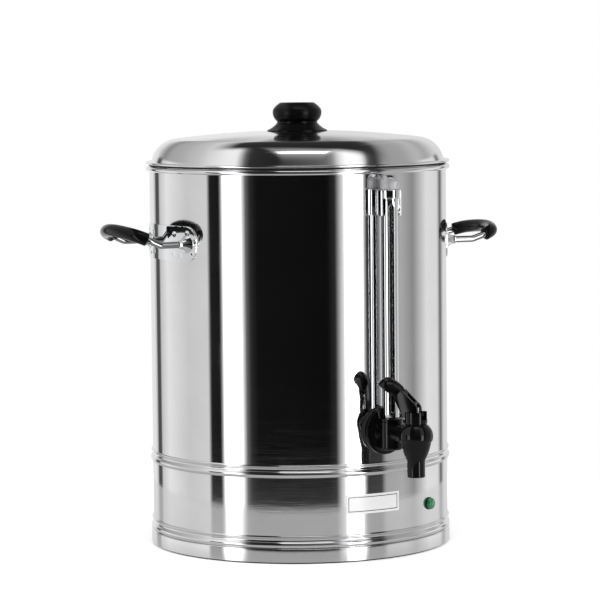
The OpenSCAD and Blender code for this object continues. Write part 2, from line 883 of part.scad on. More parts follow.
module seat_cup() {
    color(silicone) facing(front, stem_x, 0) difference() {
        union() {
            translate([0, 0, cup_z]) cylinder(r1 = cup_r - cup_taper, r2 = cup_r, h = cup_h / 2);
            translate([0, 0, cup_z + cup_h / 2]) cylinder(r = cup_r, h = cup_h / 2);
        }
        translate([0, 0, cup_z + cup_floor]) cylinder(r = cup_bore_r + fit_gap, h = cup_h);
    }
}

module lever_pin() {
    color(chrome) facing(front, stem_x, pin_z) rotate([0, 0, 180 + lever_turn])
        translate([0, -cheek_out, 0]) rotate([-90, 0, 0])
            cylinder(r = pin_r, h = 2 * cheek_out, $fn = 48);
}

// The spring is one tube along a helix, with rings of points joined by triangles
function helix_point(a) = [
    spring_coil_r * cos(a), spring_coil_r * sin(a),
    spring_bottom + (spring_top - spring_bottom) * a / (360 * spring_turns)
];

function helix_ring(a) = [
    for (k = [0 : spring_sides - 1])
        let (b = 360 * k / spring_sides, p = helix_point(a))
            p + spring_wire_r * [cos(b) * cos(a), cos(b) * sin(a), sin(b)]
];

module tap_spring() {
    last = spring_turns * spring_steps;
    points = [for (i = [0 : last]) each helix_ring(360 * i / spring_steps)];
    sides = [
        for (i = [0 : last - 1], k = [0 : spring_sides - 1])
            let (a = i * spring_sides + k, b = i * spring_sides + (k + 1) % spring_sides)
                each [[a, b, b + spring_sides], [a, b + spring_sides, a + spring_sides]]
    ];
    start_cap = [for (k = [1 : spring_sides - 2]) [0, k + 1, k]];
    end_cap = [for (k = [1 : spring_sides - 2]) last * spring_sides * [1, 1, 1] + [0, k, k + 1]];
    color(steel) facing(front, stem_x, 0) polyhedron(points, concat(sides, start_cap, end_cap));
}

// Lever: two cheeks with an eccentric hub, joined by an arched paddle
module cheek_outline() {
    difference() {
        union() {
            translate([hub_u, hub_v]) circle(hub_r);
            circle(pin_boss_r);
            rotate(lever_rise) translate([arm_start, arm_lift - arm_depth / 2])
                square([web_s - arm_start + web_lap, arm_depth]);
        }
        circle(pin_r + run_gap, $fn = 48);
    }
}

module arch_outline() {
    difference() {
        translate([arch_s, arch_lift - arch_r]) circle(arch_r);
        translate([arch_s, arch_lift - arch_r]) circle(arch_r - paddle_t);
    }
}

module paddle_outline() {
    translate([web_s, -cheek_out]) square([lever_len - paddle_r - web_s, 2 * cheek_out]);
    translate([lever_len - paddle_r, 0]) circle(paddle_r);
}

module tap_lever() {
    color(black) facing(front, stem_x, pin_z) rotate([0, 0, 180 + lever_turn]) {
        for (y = [-cheek_in, cheek_out])
            translate([0, y, 0]) rotate([90, 0, 0]) linear_extrude(cheek_t) cheek_outline();
        rotate([0, -lever_rise, 0]) intersection() {
            translate([0, 0, -past]) linear_extrude(2 * past) paddle_outline();
            translate([0, past, 0]) rotate([90, 0, 0]) linear_extrude(2 * past) arch_outline();
        }
    }
}

// Lid
module lid_section(shrink) {
    crown_in = crown_r - shrink;
    round_in = shoulder_r - shrink;
    side_in = lid_r - shrink;
    middle = lid_r - shoulder_r;
    tangent_r = crown_in * middle / (crown_r - shoulder_r);
    intersection() {
        translate([0, crown_z - crown_r]) circle(crown_in, $fn = 720);
        translate([0, lid_z]) square([tangent_r, crown_z]);
    }
    intersection() {
        union() {
            translate([middle, shoulder_z]) circle(round_in);
            square([middle, shoulder_z + round_in * cos(asin(middle / (crown_r - shoulder_r)))]);
            translate([middle, lid_z - past]) square([round_in, shoulder_z - lid_z + past]);
        }
        translate([0, shrink > 0 ? lid_z - past : lid_z]) square([side_in, crown_z]);
    }
}

module lid_ring_section() {
    edge_r = lid_flange_h / 2;
    translate([lid_r - 2 * sheet, lid_z])
        square([lid_flange_r - edge_r - lid_r + 2 * sheet, lid_flange_h]);
    translate([lid_flange_r - edge_r, lid_z + edge_r]) circle(edge_r);
    translate([lip_r - sheet, lid_z - lip_h]) square([sheet, lip_h + lid_flange_h]);
}

module lid() {
    color(steel) difference() {
        rotate_extrude() {
            difference() {
                lid_section(0);
                lid_section(sheet);
            }
            difference() {
                lid_ring_section();
                square([lip_r - sheet, crown_z]);
            }
        }
        translate([0, 0, crown_z - past]) cylinder(r = knob_bore_r, h = 2 * past);
    }
}

module knob_section() {
    bulge_z = crown_z + knob_h - knob_bulge_r;
    translate([knob_r - knob_bulge_r, bulge_z]) circle(knob_bulge_r);
    translate([0, bulge_z - knob_bulge_r]) square([knob_r - knob_bulge_r, 2 * knob_bulge_r]);
    difference() {
        translate([0, crown_z]) square([knob_foot_r, knob_neck_z - crown_z + knob_root]);
        translate([knob_foot_r + knob_flare_out, knob_neck_z + knob_flare_up]) circle(knob_flare_r);
    }
}

module lid_knob() {
    color(black) difference() {
        rotate_extrude() knob_section();
        translate([0, 0, crown_z - cut]) cylinder(r = knob_bore_r, h = knob_h - knob_roof + cut);
    }
}

module knob_screw() {
    head_z = crown_z - sheet - knob_washer_t - knob_screw_head_h - 2 * fit_gap;
    color(chrome) {
        translate([0, 0, head_z]) cylinder(r = knob_screw_head_r, h = knob_screw_head_h);
        translate([0, 0, head_z + cut])
            cylinder(r = knob_screw_r, h = crown_z + knob_h - knob_screw_roof - head_z);
    }
}

module knob_washer() {
    color(rubber) translate([0, 0, crown_z - sheet - knob_washer_t - fit_gap])
        pipe(knob_washer_r, knob_bore_r, knob_washer_t);
}

// Pump and basket
module pump_tube() {
    low = pump_foot_z + pump_foot_h;
    color(steel) difference() {
        union() {
            translate([0, 0, low]) cylinder(r = pump_r, h = pump_top - low);
            translate([0, 0, basket_z - lift_gap - pump_collar_h])
                cylinder(r = pump_collar_r, h = pump_collar_h);
        }
        translate([0, 0, low - cut]) cylinder(r = pump_r - pump_wall, h = pump_top);
    }
}

module pump_foot() {
    color(steel) difference() {
        translate([0, 0, pump_foot_z]) cylinder(r1 = pump_foot_r, r2 = pump_r, h = pump_foot_h);
        translate([0, 0, pump_foot_z - sheet])
            cylinder(r1 = pump_foot_r, r2 = pump_r - pump_wall, h = pump_foot_h);
        translate([0, 0, pump_foot_z]) cylinder(r = pump_r - pump_wall, h = pump_foot_h + cut);
        for (i = [0 : 1])
            rotate([0, 0, 90 * i]) translate([-pump_foot_r - cut, -notch_w / 2, pump_foot_z - cut])
                cube([2 * (pump_foot_r + cut), notch_w, notch_h + cut]);
    }
}

module basket() {
    color(steel) difference() {
        union() {
            translate([0, 0, basket_z]) pipe(basket_r, basket_r - sheet, basket_h);
            translate([0, 0, basket_z]) cylinder(r = basket_r - sheet / 2, h = sheet);
            translate([0, 0, basket_z]) cylinder(r = sleeve_r, h = basket_h - sleeve_drop);
        }
        translate([0, 0, basket_z - cut]) cylinder(r = sleeve_in_r, h = basket_h + 2 * cut);
        strainer(basket_rings, basket_z - cut, sheet + 2 * cut);
    }
}

module basket_cover() {
    color(steel) difference() {
        union() {
            translate([0, 0, cover_z]) cylinder(r = cover_in_r + sheet, h = sheet);
            translate([0, 0, cover_z - cover_rim_h])
                pipe(cover_in_r + sheet, cover_in_r, cover_rim_h + sheet / 2);
        }
        translate([0, 0, cover_z - cut]) cylinder(r = sleeve_in_r, h = sheet + 2 * cut);
        strainer(cover_rings, cover_z - cut, sheet + 2 * cut);
    }
}

// Heater
module heater_plate() {
    color("lightgray") translate([0, 0, spreader_z]) pipe(spreader_r, stud_r + fit_gap, spreader_t);
}

module heater_element() {
    end_z = element_z - cold_end_h;
    trim = joint_trim / element_ring_r * 180 / PI;
    color("dimgray") {
        translate([0, 0, element_z]) rotate([0, 0, element_open / 2 + trim - 90])
            rotate_extrude(angle = 360 - element_open - 2 * trim)
                translate([element_ring_r, 0]) circle(element_r);
        for (side = [-1, 1]) rotate([0, 0, -90 + side * element_open / 2])
            translate([element_ring_r, 0, 0]) {
                translate([0, 0, element_z]) joint_ball(element_r);
                translate([0, 0, end_z]) cylinder(r = element_r, h = cold_end_h - joint_trim);
                translate([0, 0, end_z - cold_end_pin_h])
                    cylinder(r = cold_end_pin_r, h = cold_end_pin_h + cut);
            }
    }
}

module heater_clamp() {
    long = 2 * (element_ring_r + clamp_over);
    color(steel) difference() {
        translate([-long / 2, -clamp_w / 2, clamp_z]) cube([long, clamp_w, clamp_t]);
        translate([0, 0, clamp_z - cut]) cylinder(r = stud_r + fit_gap, h = clamp_t + 2 * cut);
    }
}

module heater_nut() {
    color(chrome) translate([0, 0, clamp_z - heater_nut_h]) difference() {
        hexagon(heater_nut_across, heater_nut_h);
        translate([0, 0, -cut]) cylinder(r = stud_r + fit_gap, h = heater_nut_h + 2 * cut);
    }
}

module spades(gap, z) {
    for (side = [-1, 1])
        translate([side * gap / 2 - spade_w / 2, -spade_t / 2, z - spade_h])
            cube([spade_w, spade_t, spade_h + cut]);
}

module thermostat() {
    color("beige") translate([0, sensor_off, spreader_z]) {
        translate([0, 0, -sensor_flange_t]) cylinder(r = sensor_flange_r, h = sensor_flange_t);
        translate([0, 0, -sensor_h]) cylinder(r = sensor_r, h = sensor_h);
        spades(sensor_spade_gap, -sensor_h);
    }
}

module thermal_cutout() {
    color("tan") translate([0, -sensor_off, spreader_z]) {
        translate([0, 0, -cutout_h]) cylinder(r = cutout_r, h = cutout_h);
        spades(cutout_spade_gap, -cutout_h);
    }
}

module terminal_block() {
    way = block_size[0] / block_ways;
    color("white") translate([block_at[0], block_at[1], plate_z + sheet]) difference() {
        translate([-block_size[0] / 2, -block_size[1] / 2, 0]) cube(block_size);
        for (i = [0 : block_ways - 1]) translate([(i - (block_ways - 1) / 2) * way, 0, 0]) {
            translate([0, 0, block_size[2] - block_screw_h])
                cylinder(r = block_screw_r, h = block_screw_h + cut, $fn = 32);
            translate([0, block_size[1], block_size[2] / 3]) rotate([90, 0, 0])
                cylinder(r = block_wire_r, h = 2 * block_size[1], $fn = 32);
        }
    }
}

// Rear fittings
module at_inlet_screws() {
    for (side = [-1, 1])
        facing(rear, inlet_face_x, rear_z) translate([0, side * inlet_screw_gap / 2, 0]) children();
}

module at_inlet_pins() {
    places = [[-inlet_pin_gap, -inlet_pin_drop], [0, inlet_pin_drop], [inlet_pin_gap, -inlet_pin_drop]];
    for (p = places) facing(rear, inlet_face_x - inlet_depth, rear_z) translate([0, p[0], p[1]]) children();
}

module power_inlet() {
    body_w = socket_w + 2 * inlet_wall;
    body_h = socket_h + 2 * inlet_wall;
    deep = inlet_depth + inlet_back;
    color(black) difference() {
        union() {
            difference() {
                facing(rear, inlet_face_x - past / 2, rear_z)
                    translate([0, -inlet_plate_w / 2, -inlet_plate_h / 2])
                        cube([past / 2, inlet_plate_w, inlet_plate_h]);
                wall_column(vessel_r + fit_gap);
            }
            facing(rear, inlet_face_x - deep, rear_z)
                translate([0, -body_w / 2, -body_h / 2]) cube([deep, body_w, body_h]);
        }
        facing(rear, inlet_face_x - inlet_depth, rear_z)
            translate([0, -socket_w / 2, -socket_h / 2]) cube([inlet_depth + cut, socket_w, socket_h]);
        at_inlet_pins() cube([past, inlet_pin_w + fit_gap, inlet_pin_h + fit_gap], center = true);
        at_inlet_screws() translate([-past, 0, 0]) outward(inlet_screw_r + fit_gap, 2 * past);
    }
}

module inlet_pins() {
    long = inlet_back + inlet_pin_tail + inlet_pin_len;
    color(chrome) at_inlet_pins()
        translate([-inlet_back - inlet_pin_tail, -inlet_pin_w / 2, -inlet_pin_h / 2])
            cube([long, inlet_pin_w, inlet_pin_h]);
}

module inlet_screws() {
    color(chrome) at_inlet_screws() {
        outward(inlet_screw_head_r, inlet_screw_head_h);
        translate([-inlet_screw_in, 0, 0]) outward(inlet_screw_r, inlet_screw_in + cut);
    }
}

module at_switch() {
    facing(rear + switch_angle, vessel_r + switch_bezel_t, rear_z) children();
}

module switch_housing() {
    box_w = switch_w - 2 * fit_gap;
    box_h = switch_h - 2 * fit_gap;
    bezel_w = switch_w + 2 * switch_bezel_over;
    bezel_h = switch_h + 2 * switch_bezel_over;
    color(black) difference() {
        union() {
            difference() {
                at_switch() translate([-past / 2, -bezel_w / 2, -bezel_h / 2])
                    cube([past / 2, bezel_w, bezel_h]);
                wall_column(vessel_r + fit_gap);
            }
            at_switch() translate([-switch_depth, -box_w / 2, -box_h / 2])
                cube([switch_depth, box_w, box_h]);
        }
        at_switch() {
            translate([2 * switch_wall - switch_depth, switch_wall - box_w / 2, switch_wall - box_h / 2])
                cube([switch_depth, box_w - 2 * switch_wall, box_h - 2 * switch_wall]);
            translate([-rocker_in, -past, 0]) rotate([-90, 0, 0])
                cylinder(r = rocker_pin_r + run_gap, h = 2 * past, $fn = 48);
        }
    }
}

// The rocker's outline, in a plane across its pin: outwards first, then up
module rocker_outline() {
    tip = rocker_r * [cos(rocker_face), sin(rocker_face)];
    polygon([
        [tip[0] - rocker_dip, 0], tip, [-rocker_skirt, tip[1] - rocker_skirt],
        [-rocker_skirt, rocker_skirt - tip[1]], [tip[0], -tip[1]]
    ]);
}

module switch_rocker() {
    pin_len = switch_w - 2 * fit_gap - lift_gap;
    color(black) at_switch() translate([-rocker_in, 0, 0]) {
        translate([0, rocker_w / 2, 0]) rotate([90, 0, 0]) linear_extrude(rocker_w)
            rotate(rocker_travel / 2) rocker_outline();
        translate([0, -pin_len / 2, 0]) rotate([-90, 0, 0])
            cylinder(r = rocker_pin_r, h = pin_len, $fn = 48);
    }
}

// Lamp
module at_lamp() {
    facing(lamp_angle, vessel_r, lamp_z) children();
}

module lamp_lens() {
    color("green") at_lamp() translate([lamp_bezel_t, 0, 0]) rotate([0, 90, 0]) rotate_extrude() {
        square([lens_r, lens_h - lens_round_r]);
        square([lens_r - lens_round_r, lens_h]);
        intersection() {
            translate([lens_r - lens_round_r, lens_h - lens_round_r]) circle(lens_round_r, $fn = 48);
            square([lens_r, lens_h]);
        }
    }
}

module lamp_body() {
    color(black) {
        difference() {
            at_lamp() translate([-lamp_bezel_t, 0, 0]) outward(lamp_bezel_r, 2 * lamp_bezel_t);
            wall_column(vessel_r + fit_gap);
        }
        at_lamp() translate([-lamp_depth, 0, 0]) outward(lamp_body_r, lamp_depth + lamp_bezel_t / 2);
    }
}

module lamp_nut() {
    color("white") intersection() {
        at_lamp() translate([-sheet - lamp_nut_h - cut, 0, 0]) difference() {
            outward(lamp_nut_r, past);
            translate([-cut, 0, 0]) outward(lamp_hole_r, past + 2 * cut);
        }
        wall_column(vessel_in_r - fit_gap);
    }
}

tank();
base_shell();
bottom_plate();
bottom_screws();
foot_ring();
left_handle_plate();
left_handle_bosses();
left_handle_rod();
left_handle_grip();
right_handle_plate();
right_handle_bosses();
right_handle_rod();
right_handle_grip();
gauge_glass();
gauge_guard();
gauge_cap();
gauge_clip();
gauge_seals();
tap_shank();
shank_gaskets();
shank_nut();
tap_body();
tap_bonnet();
valve_stem();
seat_cup();
lever_pin();
tap_spring();
tap_lever();
lid();
lid_knob();
knob_screw();
knob_washer();
pump_tube();
pump_foot();
basket();
basket_cover();
heater_plate();
heater_element();
heater_clamp();
heater_nut();
thermostat();
thermal_cutout();
terminal_block();
power_inlet();
inlet_pins();
inlet_screws();
switch_housing();
switch_rocker();
lamp_lens();
lamp_body();
lamp_nut();
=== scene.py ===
"""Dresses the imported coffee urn.

Its pieces are the polished vessel and base, lid, handles, sight gauge, lever tap and fittings at the back.
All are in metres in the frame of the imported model: the vessel's axis is Z and the tap points along -Y.
"""
from math import acos, asin, atan2, cos, degrees, pi, radians, sin, sqrt, tan

import bmesh
import bpy
from bpy.props import FloatProperty, FloatVectorProperty, PointerProperty
from mathutils import Matrix, Vector


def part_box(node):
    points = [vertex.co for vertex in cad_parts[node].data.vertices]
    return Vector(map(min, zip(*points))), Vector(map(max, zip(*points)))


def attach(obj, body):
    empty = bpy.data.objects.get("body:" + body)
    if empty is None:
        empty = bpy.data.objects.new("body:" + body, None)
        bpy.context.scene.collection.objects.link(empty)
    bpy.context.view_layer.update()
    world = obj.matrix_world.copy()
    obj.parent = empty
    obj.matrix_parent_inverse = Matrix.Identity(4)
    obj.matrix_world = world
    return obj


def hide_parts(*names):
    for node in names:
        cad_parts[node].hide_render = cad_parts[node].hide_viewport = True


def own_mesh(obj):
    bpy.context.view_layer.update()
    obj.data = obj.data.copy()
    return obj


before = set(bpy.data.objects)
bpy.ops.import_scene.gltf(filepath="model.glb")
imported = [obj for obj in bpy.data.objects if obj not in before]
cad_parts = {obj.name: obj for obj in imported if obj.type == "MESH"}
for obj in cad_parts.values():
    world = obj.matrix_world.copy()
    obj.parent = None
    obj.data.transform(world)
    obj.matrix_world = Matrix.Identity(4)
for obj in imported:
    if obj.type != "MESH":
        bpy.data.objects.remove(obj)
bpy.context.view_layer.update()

bl_info = {
    "name": "Coffee Urn",
    "version": (1, 0, 0),
    "blender": (4, 5, 0),
    "location": "View3D > Sidebar > Urn",
    "description": "Builds the visible pieces of a catering urn round its packed frame",
    "category": "Add Mesh",
}

FRONT, BACK = radians(-90), radians(90)
# Gap between two pieces where one sits inside or against the other
FIT = 0.00015
ALONG_X = Matrix.Rotation(radians(90), 4, "Y")
# Turns a tube's own axes so that it runs along X and bends towards Y
ALONG_ARM = Matrix(((0, 0, 1, 0), (1, 0, 0, 0), (0, 1, 0, 0), (0, 0, 0, 1)))


def length(name, description, default):
    return FloatProperty(name=name, description=description, default=default, min=0, precision=5,
                         unit="LENGTH")


def turn_of(name, description, default):
    return FloatProperty(name=name, description=description, default=radians(default), unit="ROTATION")


def tint(name, description, default):
    return FloatVectorProperty(name=name, description=description, default=default, size=3, min=0, max=1,
                               subtype="COLOR")


class UrnSizes(bpy.types.PropertyGroup):
    """Sizes of the urn's visible pieces"""
    vessel_radius: length("Vessel radius", "Outer radius of the vessel's wall", 0.146)
    sheet: length("Sheet", "Thickness of the vessel's steel", 0.0012)
    rim_height: length("Rim height", "Top of the vessel's rolled rim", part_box("tank")[1].z)
    rim_roll: length("Rim roll", "Radius of the rolled rim", 0.0024)
    floor_height: length("Floor height", "Underside of the vessel's floor", 0.088)
    base_height: length("Base height", "Top of the base shell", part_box("base_shell")[1].z)
    ridge_radius: length("Ridge radius", "Radius of the ridge at the top of each rib", 0.0011)
    cove_radius: length("Cove radius", "Radius of the cove under each rib's ridge", 0.00245)
    bead_radius: length("Bead radius", "Radius of the bead at the foot of each rib", 0.0036)
    band_height: length("Band height", "Top of the plain band at the foot", 0.0144)
    band_step: length("Band step", "How far the band stands out", 0.002)
    foot_gap: length("Foot gap", "Gap under the band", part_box("base_shell")[0].z)
    lid_crown: length("Lid crown", "Height of the lid's top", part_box("lid")[1].z)
    lid_seat: length("Lid seat", "Underside of the lid's flange", 0.3729)
    lid_radius: length("Lid radius", "Radius of the lid's side", 0.144)
    crown_radius: length("Crown radius", "Radius of the lid's shallow crown", 1.0)
    shoulder_radius: length("Shoulder radius", "Radius of the lid's rounded shoulder", 0.026)
    flange_height: length("Flange height", "Height of the lid's flange", 0.004)
    flange_radius: length("Flange radius", "Outer radius of the lid's flange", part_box("lid")[1].x)
    lip_radius: length("Lip radius", "Radius of the lid's locating lip", 0.1436)
    lip_depth: length("Lip depth", "Depth of the lid's locating lip", 0.010)
    knob_radius: length("Knob radius", "Largest radius of the knob", 0.0241)
    knob_foot: length("Knob foot", "Radius of the knob's flared foot", 0.0295)
    knob_girth: length("Knob girth", "Depth below its top at which the knob is widest", 0.0098)
    knob_neck: length("Knob neck", "Radius of the band under the knob's bulge", 0.0198)
    knob_top: length("Knob top", "Height of the knob's top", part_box("lid_knob")[1].z)
    arm_half: length("Arm half", "Half the distance between a handle's arms", 0.0425)
    bend_out: length("Bend out", "Distance of the arms' bend from the axis", 0.1685)
    rod_radius: length("Rod radius", "Radius of the handle rod", 0.0032)
    grip_radius: length("Grip radius", "Radius of the moulded grip", 0.00629)
    grip_lead: length("Grip lead", "Straight length before the grip's corner", 0.009)
    grip_corner: length("Grip corner", "Radius of the grip's corners", 0.018)
    grip_bow: length("Grip bow", "Radius of the grip's long bow", 0.080)
    pad_half: length("Pad half", "Half the width of a handle's welded plate", 0.0545)
    pad_height: length("Pad height", "Height of a handle's welded plate", 0.034)
    pad_corner: length("Pad corner", "Corner radius of a handle's welded plate", 0.014)
    pad_face: length("Pad face", "Radius of the welded plate's outer face", 0.14735)
    pad_thickness: length("Pad thickness", "Thickness of the welded plate", 0.0012)
    boss_radius: length("Boss radius", "Radius of a handle boss at the plate", 0.0085)
    boss_length: length("Boss length", "Length of a handle boss", 0.008)
    left_height: length("Left height", "Height of the left handle's arms", 0.301)
    right_height: length("Right height", "Height of the right handle's arms", 0.2965)
    left_angle: turn_of("Left angle", "Direction of the left handle", 174.3)
    right_angle: turn_of("Right angle", "Direction of the right handle", -13.7)
    left_tilt: turn_of("Left tilt", "Upward tilt of the left grip", 24)
    right_tilt: turn_of("Right tilt", "Upward tilt of the right grip", 18)
    gauge_out: length("Gauge out", "Distance of the sight gauge from the axis", 0.1602)
    guard_radius: length("Guard radius", "Outer radius of the gauge's guard tube", 0.0076)
    guard_wall: length("Guard wall", "Wall of the guard tube", 0.0016)
    guard_low: length("Guard low", "Lower end of the guard tube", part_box("gauge_guard")[0].z)
    guard_high: length("Guard high", "Upper end of the guard tube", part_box("gauge_guard")[1].z)
    slot_width: length("Slot width", "Width of the guard's slot", 0.0048)
    slot_margin: length("Slot margin", "Plain length of the guard beyond its slot", 0.006)
    slot_turn: turn_of("Slot turn", "Turn of the slot away from the front", -23)
    glass_radius: length("Glass radius", "Outer radius of the sight glass", 0.005)
    glass_wall: length("Glass wall", "Wall of the sight glass", 0.0013)
    cap_radius: length("Cap radius", "Radius of the gauge's domed cap", 0.009)
    cap_top: length("Cap top", "Height of the gauge's cap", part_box("gauge_cap")[1].z)
    cap_round: length("Cap round", "Radius of the cap's dome edge", 0.0075)
    collar_radius: length("Collar radius", "Radius of the collar under the cap", 0.010)
    collar_height: length("Collar height", "Height of the collar under the cap", 0.008)
    clip_height: length("Clip height", "Height of the guard's clip", 0.0245)
    clip_wall: length("Clip wall", "Thickness of the guard's clip", 0.0012)
    tap_height: length("Tap height", "Height of the tap's inlet", 0.124)
    tap_out: length("Tap out", "Distance of the tap's stem from the axis", 0.2005)
    bell_radius: length("Bell radius", "Largest radius of the tap's bell", 0.01629)
    bell_round: length("Bell round", "Radius of the bell's rounded top", 0.0138)
    bell_top: length("Bell top", "Height of the bell's top above the inlet", 0.012)
    chamber_radius: length("Chamber radius", "Radius of the valve chamber in the bell", 0.0098)
    seam_drop: length("Seam drop", "Depth of the bell's seam below the inlet", 0.0045)
    spout_drop: length("Spout drop", "Depth of the spout below the inlet", 0.0385)
    spout_radius: length("Spout radius", "Outer radius of the spout", 0.0081)
    spout_bore: length("Spout bore", "Radius of the spout's bore", 0.0058)
    inlet_radius: length("Tap inlet radius", "Radius of the tap's inlet neck", 0.0105)
    shank_flange: length("Shank flange", "Radius of the shank's flange", 0.0225)
    shank_radius: length("Shank radius", "Radius of the tap's shank", 0.009)
    socket_radius: length("Socket radius", "Radius of the gauge's socket", 0.011)
    bonnet_radius: length("Bonnet radius", "Radius of the tap's slotted bonnet", 0.0109)
    bonnet_shelf: length("Bonnet shelf", "Height of the floor of the bonnet's slot", 0.1397)
    slot_half: length("Bonnet slot", "Half the width of the bonnet's slot", 0.0069)
    stem_travel: length("Stem travel", "How far the stem rises", 0.003)
    spring_wire: length("Spring wire", "Radius of the return spring's wire", 0.0006)
    pin_height: length("Pin height", "Height of the lever's pin", 0.147)
    lever_turn: turn_of("Lever turn", "Turn of the lever away from the front", 33)
    lever_rise: turn_of("Lever rise", "Rise of the lever at rest", 43)
    lever_length: length("Lever length", "Reach of the lever from its pin", 0.045)
    paddle_radius: length("Paddle radius", "Radius of the lever's rounded tip", 0.011)
    paddle_rim: length("Paddle rim", "Half the thickness of the paddle's rim", 0.0015)
    cheek_inner: length("Cheek inner", "Inner face of a lever cheek", 0.0034)
    cheek_outer: length("Cheek outer", "Outer face of a lever cheek", 0.0064)
    hub_radius: length("Hub radius", "Radius of the lever's eccentric hub", 0.0085)
    lamp_angle: turn_of("Lamp angle", "Direction of the pilot lamp", -64.3)
    lamp_height: length("Lamp height", "Height of the pilot lamp", 0.046)
    lens_radius: length("Lens radius", "Radius of the lamp's lens", 0.0056)
    label_angle: turn_of("Label angle", "Direction of the bare plate", -94.15)
    label_height: length("Label height", "Height of the bare plate's middle", 0.0548)
    label_width: length("Label width", "Width of the bare plate", 0.058)
    label_tall: length("Label tall", "Height of the bare plate", 0.0185)
    back_height: length("Back height", "Height of the inlet and the switch", 0.050)
    switch_angle: turn_of("Switch angle", "Direction of the rocker switch", 112)


class UrnFinish(bpy.types.PropertyGroup):
    """Colours of the urn's finishes"""
    steel: tint("Steel", "Colour of the polished steel", (0.86, 0.86, 0.87))
    chrome: tint("Chrome", "Colour of the plated parts", (0.88, 0.89, 0.90))
    black: tint("Black", "Colour of the black mouldings", (0.0028, 0.0028, 0.003))
    rubber: tint("Rubber", "Colour of the rubber parts", (0.02, 0.02, 0.021))
    lens: tint("Lens", "Colour of the pilot lamp", (0.012, 0.20, 0.075))
    enamel: tint("Enamel", "Colour of the bare plate", (0.92, 0.92, 0.92))
    line: tint("Line", "Colour of the plate's border", (0.045, 0.045, 0.05))
    floor: tint("Floor", "Colour of the floor", (0.9, 0.9, 0.9))


# Shapes

def facing(angle, out=0.0, height=0.0):
    """A place that looks out from the vessel's axis along its own X."""
    return Matrix.Rotation(angle, 4, "Z") @ Matrix.Translation((out, 0, height))


def verts_of(geom):
    return [g for g in geom if isinstance(g, bmesh.types.BMVert)]


def move(bm, place):
    bmesh.ops.transform(bm, matrix=place, verts=bm.verts[:])


def fill_holes(bm):
    bmesh.ops.holes_fill(bm, edges=[e for e in bm.edges if e.is_boundary])


class Pen:
    """Draws a half section in the XZ plane for a turned piece."""

    def __init__(self, bm, x, z):
        self.bm = bm
        self.tip = bmesh.ops.create_vert(bm, co=(x, 0, z))["vert"][0]

    def line(self, x, z):
        made = bmesh.ops.extrude_vert_indiv(self.bm, verts=[self.tip])["verts"][0]
        bmesh.ops.translate(self.bm, verts=[made], vec=Vector((x, 0, z)) - made.co)
        self.tip = made
        return self

    def arc(self, x, z, sweep, steps):
        """Turns about the point (x, z), with a positive sweep from X towards Z."""
        made = bmesh.ops.spin(self.bm, geom=[self.tip], cent=(x, 0, z), axis=(0, -1, 0),
                              angle=radians(sweep), steps=steps)
        self.tip = verts_of(made["geom_last"])[0]
        return self

    def bow(self, x, z, sag, steps):
        """Runs to the point (x, z) in an arc whose middle lies off the straight way by the sag.

        A positive sag bows to the right of the way, and a negative one to its left.
        """
        start, end = Vector((self.tip.co.x, self.tip.co.z)), Vector((x, z))
        way = end - start
        radius = way.length ** 2 / (8 * sag) + sag / 2
        side = Vector((-way.y, way.x)).normalized()
        centre = (start + end) / 2 + side * (radius - sag)
        return self.arc(centre.x, centre.y, degrees(2 * asin(way.length / (2 * radius))), steps)


def turned(draw, steps, place=Matrix()):
    """A solid of revolution about Z of the half section that draw makes, moved to its place."""
    bm = bmesh.new()
    draw(bm)
    bmesh.ops.spin(bm, geom=bm.verts[:] + bm.edges[:], cent=(0, 0, 0), axis=(0, 0, 1), angle=2 * pi,
                   steps=steps, use_merge=True)
    bmesh.ops.remove_doubles(bm, verts=bm.verts[:], dist=1e-6)
    move(bm, place)
    return bm


class Tube:
    """Carries a ring along straight runs and bends.

    Its place runs along its own Z and bends towards its own X.
    """

    def __init__(self, bm, place, radius, sides):
        self.bm = bm
        self.place = place
        self.verts = bmesh.ops.create_circle(bm, segments=sides, radius=radius, matrix=place)["verts"]
        self.edges = list({e for v in self.verts for e in v.link_edges})

    def close(self):
        bmesh.ops.contextual_create(self.bm, geom=self.edges)

    def take(self, geom):
        self.verts = verts_of(geom)
        self.edges = [g for g in geom if isinstance(g, bmesh.types.BMEdge)]

    def run(self, distance, swell=1.0):
        made = bmesh.ops.extrude_edge_only(self.bm, edges=self.edges)["geom"]
        self.take(made)
        step = self.place.to_3x3() @ Vector((0, 0, distance))
        self.place = Matrix.Translation(step) @ self.place
        bmesh.ops.translate(self.bm, verts=self.verts, vec=step)
        middle = Matrix.Translation(-self.place.translation)
        bmesh.ops.scale(self.bm, vec=(swell, swell, swell), space=middle, verts=self.verts)

    def bend(self, radius, angle, steps):
        centre = self.place @ Vector((radius, 0, 0))
        axis = self.place.to_3x3() @ Vector((0, 1, 0))
        made = bmesh.ops.spin(self.bm, geom=self.verts + self.edges, cent=centre, axis=axis, angle=angle,
                              steps=steps)
        self.take(made["geom_last"])
        about = Matrix.Translation(centre) @ Matrix.Rotation(angle, 4, axis) @ Matrix.Translation(-centre)
        self.place = about @ self.place

    def roll(self, angle):
        self.place = self.place @ Matrix.Rotation(angle, 4, "Z")


def join(bm, part):
    """Adds one bmesh to another."""
    mesh = bpy.data.meshes.new("part")
    part.to_mesh(mesh)
    part.free()
    bm.from_mesh(mesh)
    bpy.data.meshes.remove(mesh)


def corners(bm, least):
    """The edges whose faces meet at more than the least angle, in degrees."""
    return [e for e in bm.edges if len(e.link_faces) == 2 and e.calc_face_angle(0) > radians(least)]


def soften(bm, width, segments=3, least=30):
    """Rounds the sharp edges."""
    bmesh.ops.bevel(bm, geom=corners(bm, least), offset=width, offset_type="OFFSET", segments=segments,
                    profile=0.5, affect="EDGES", clamp_overlap=True, material=-1)


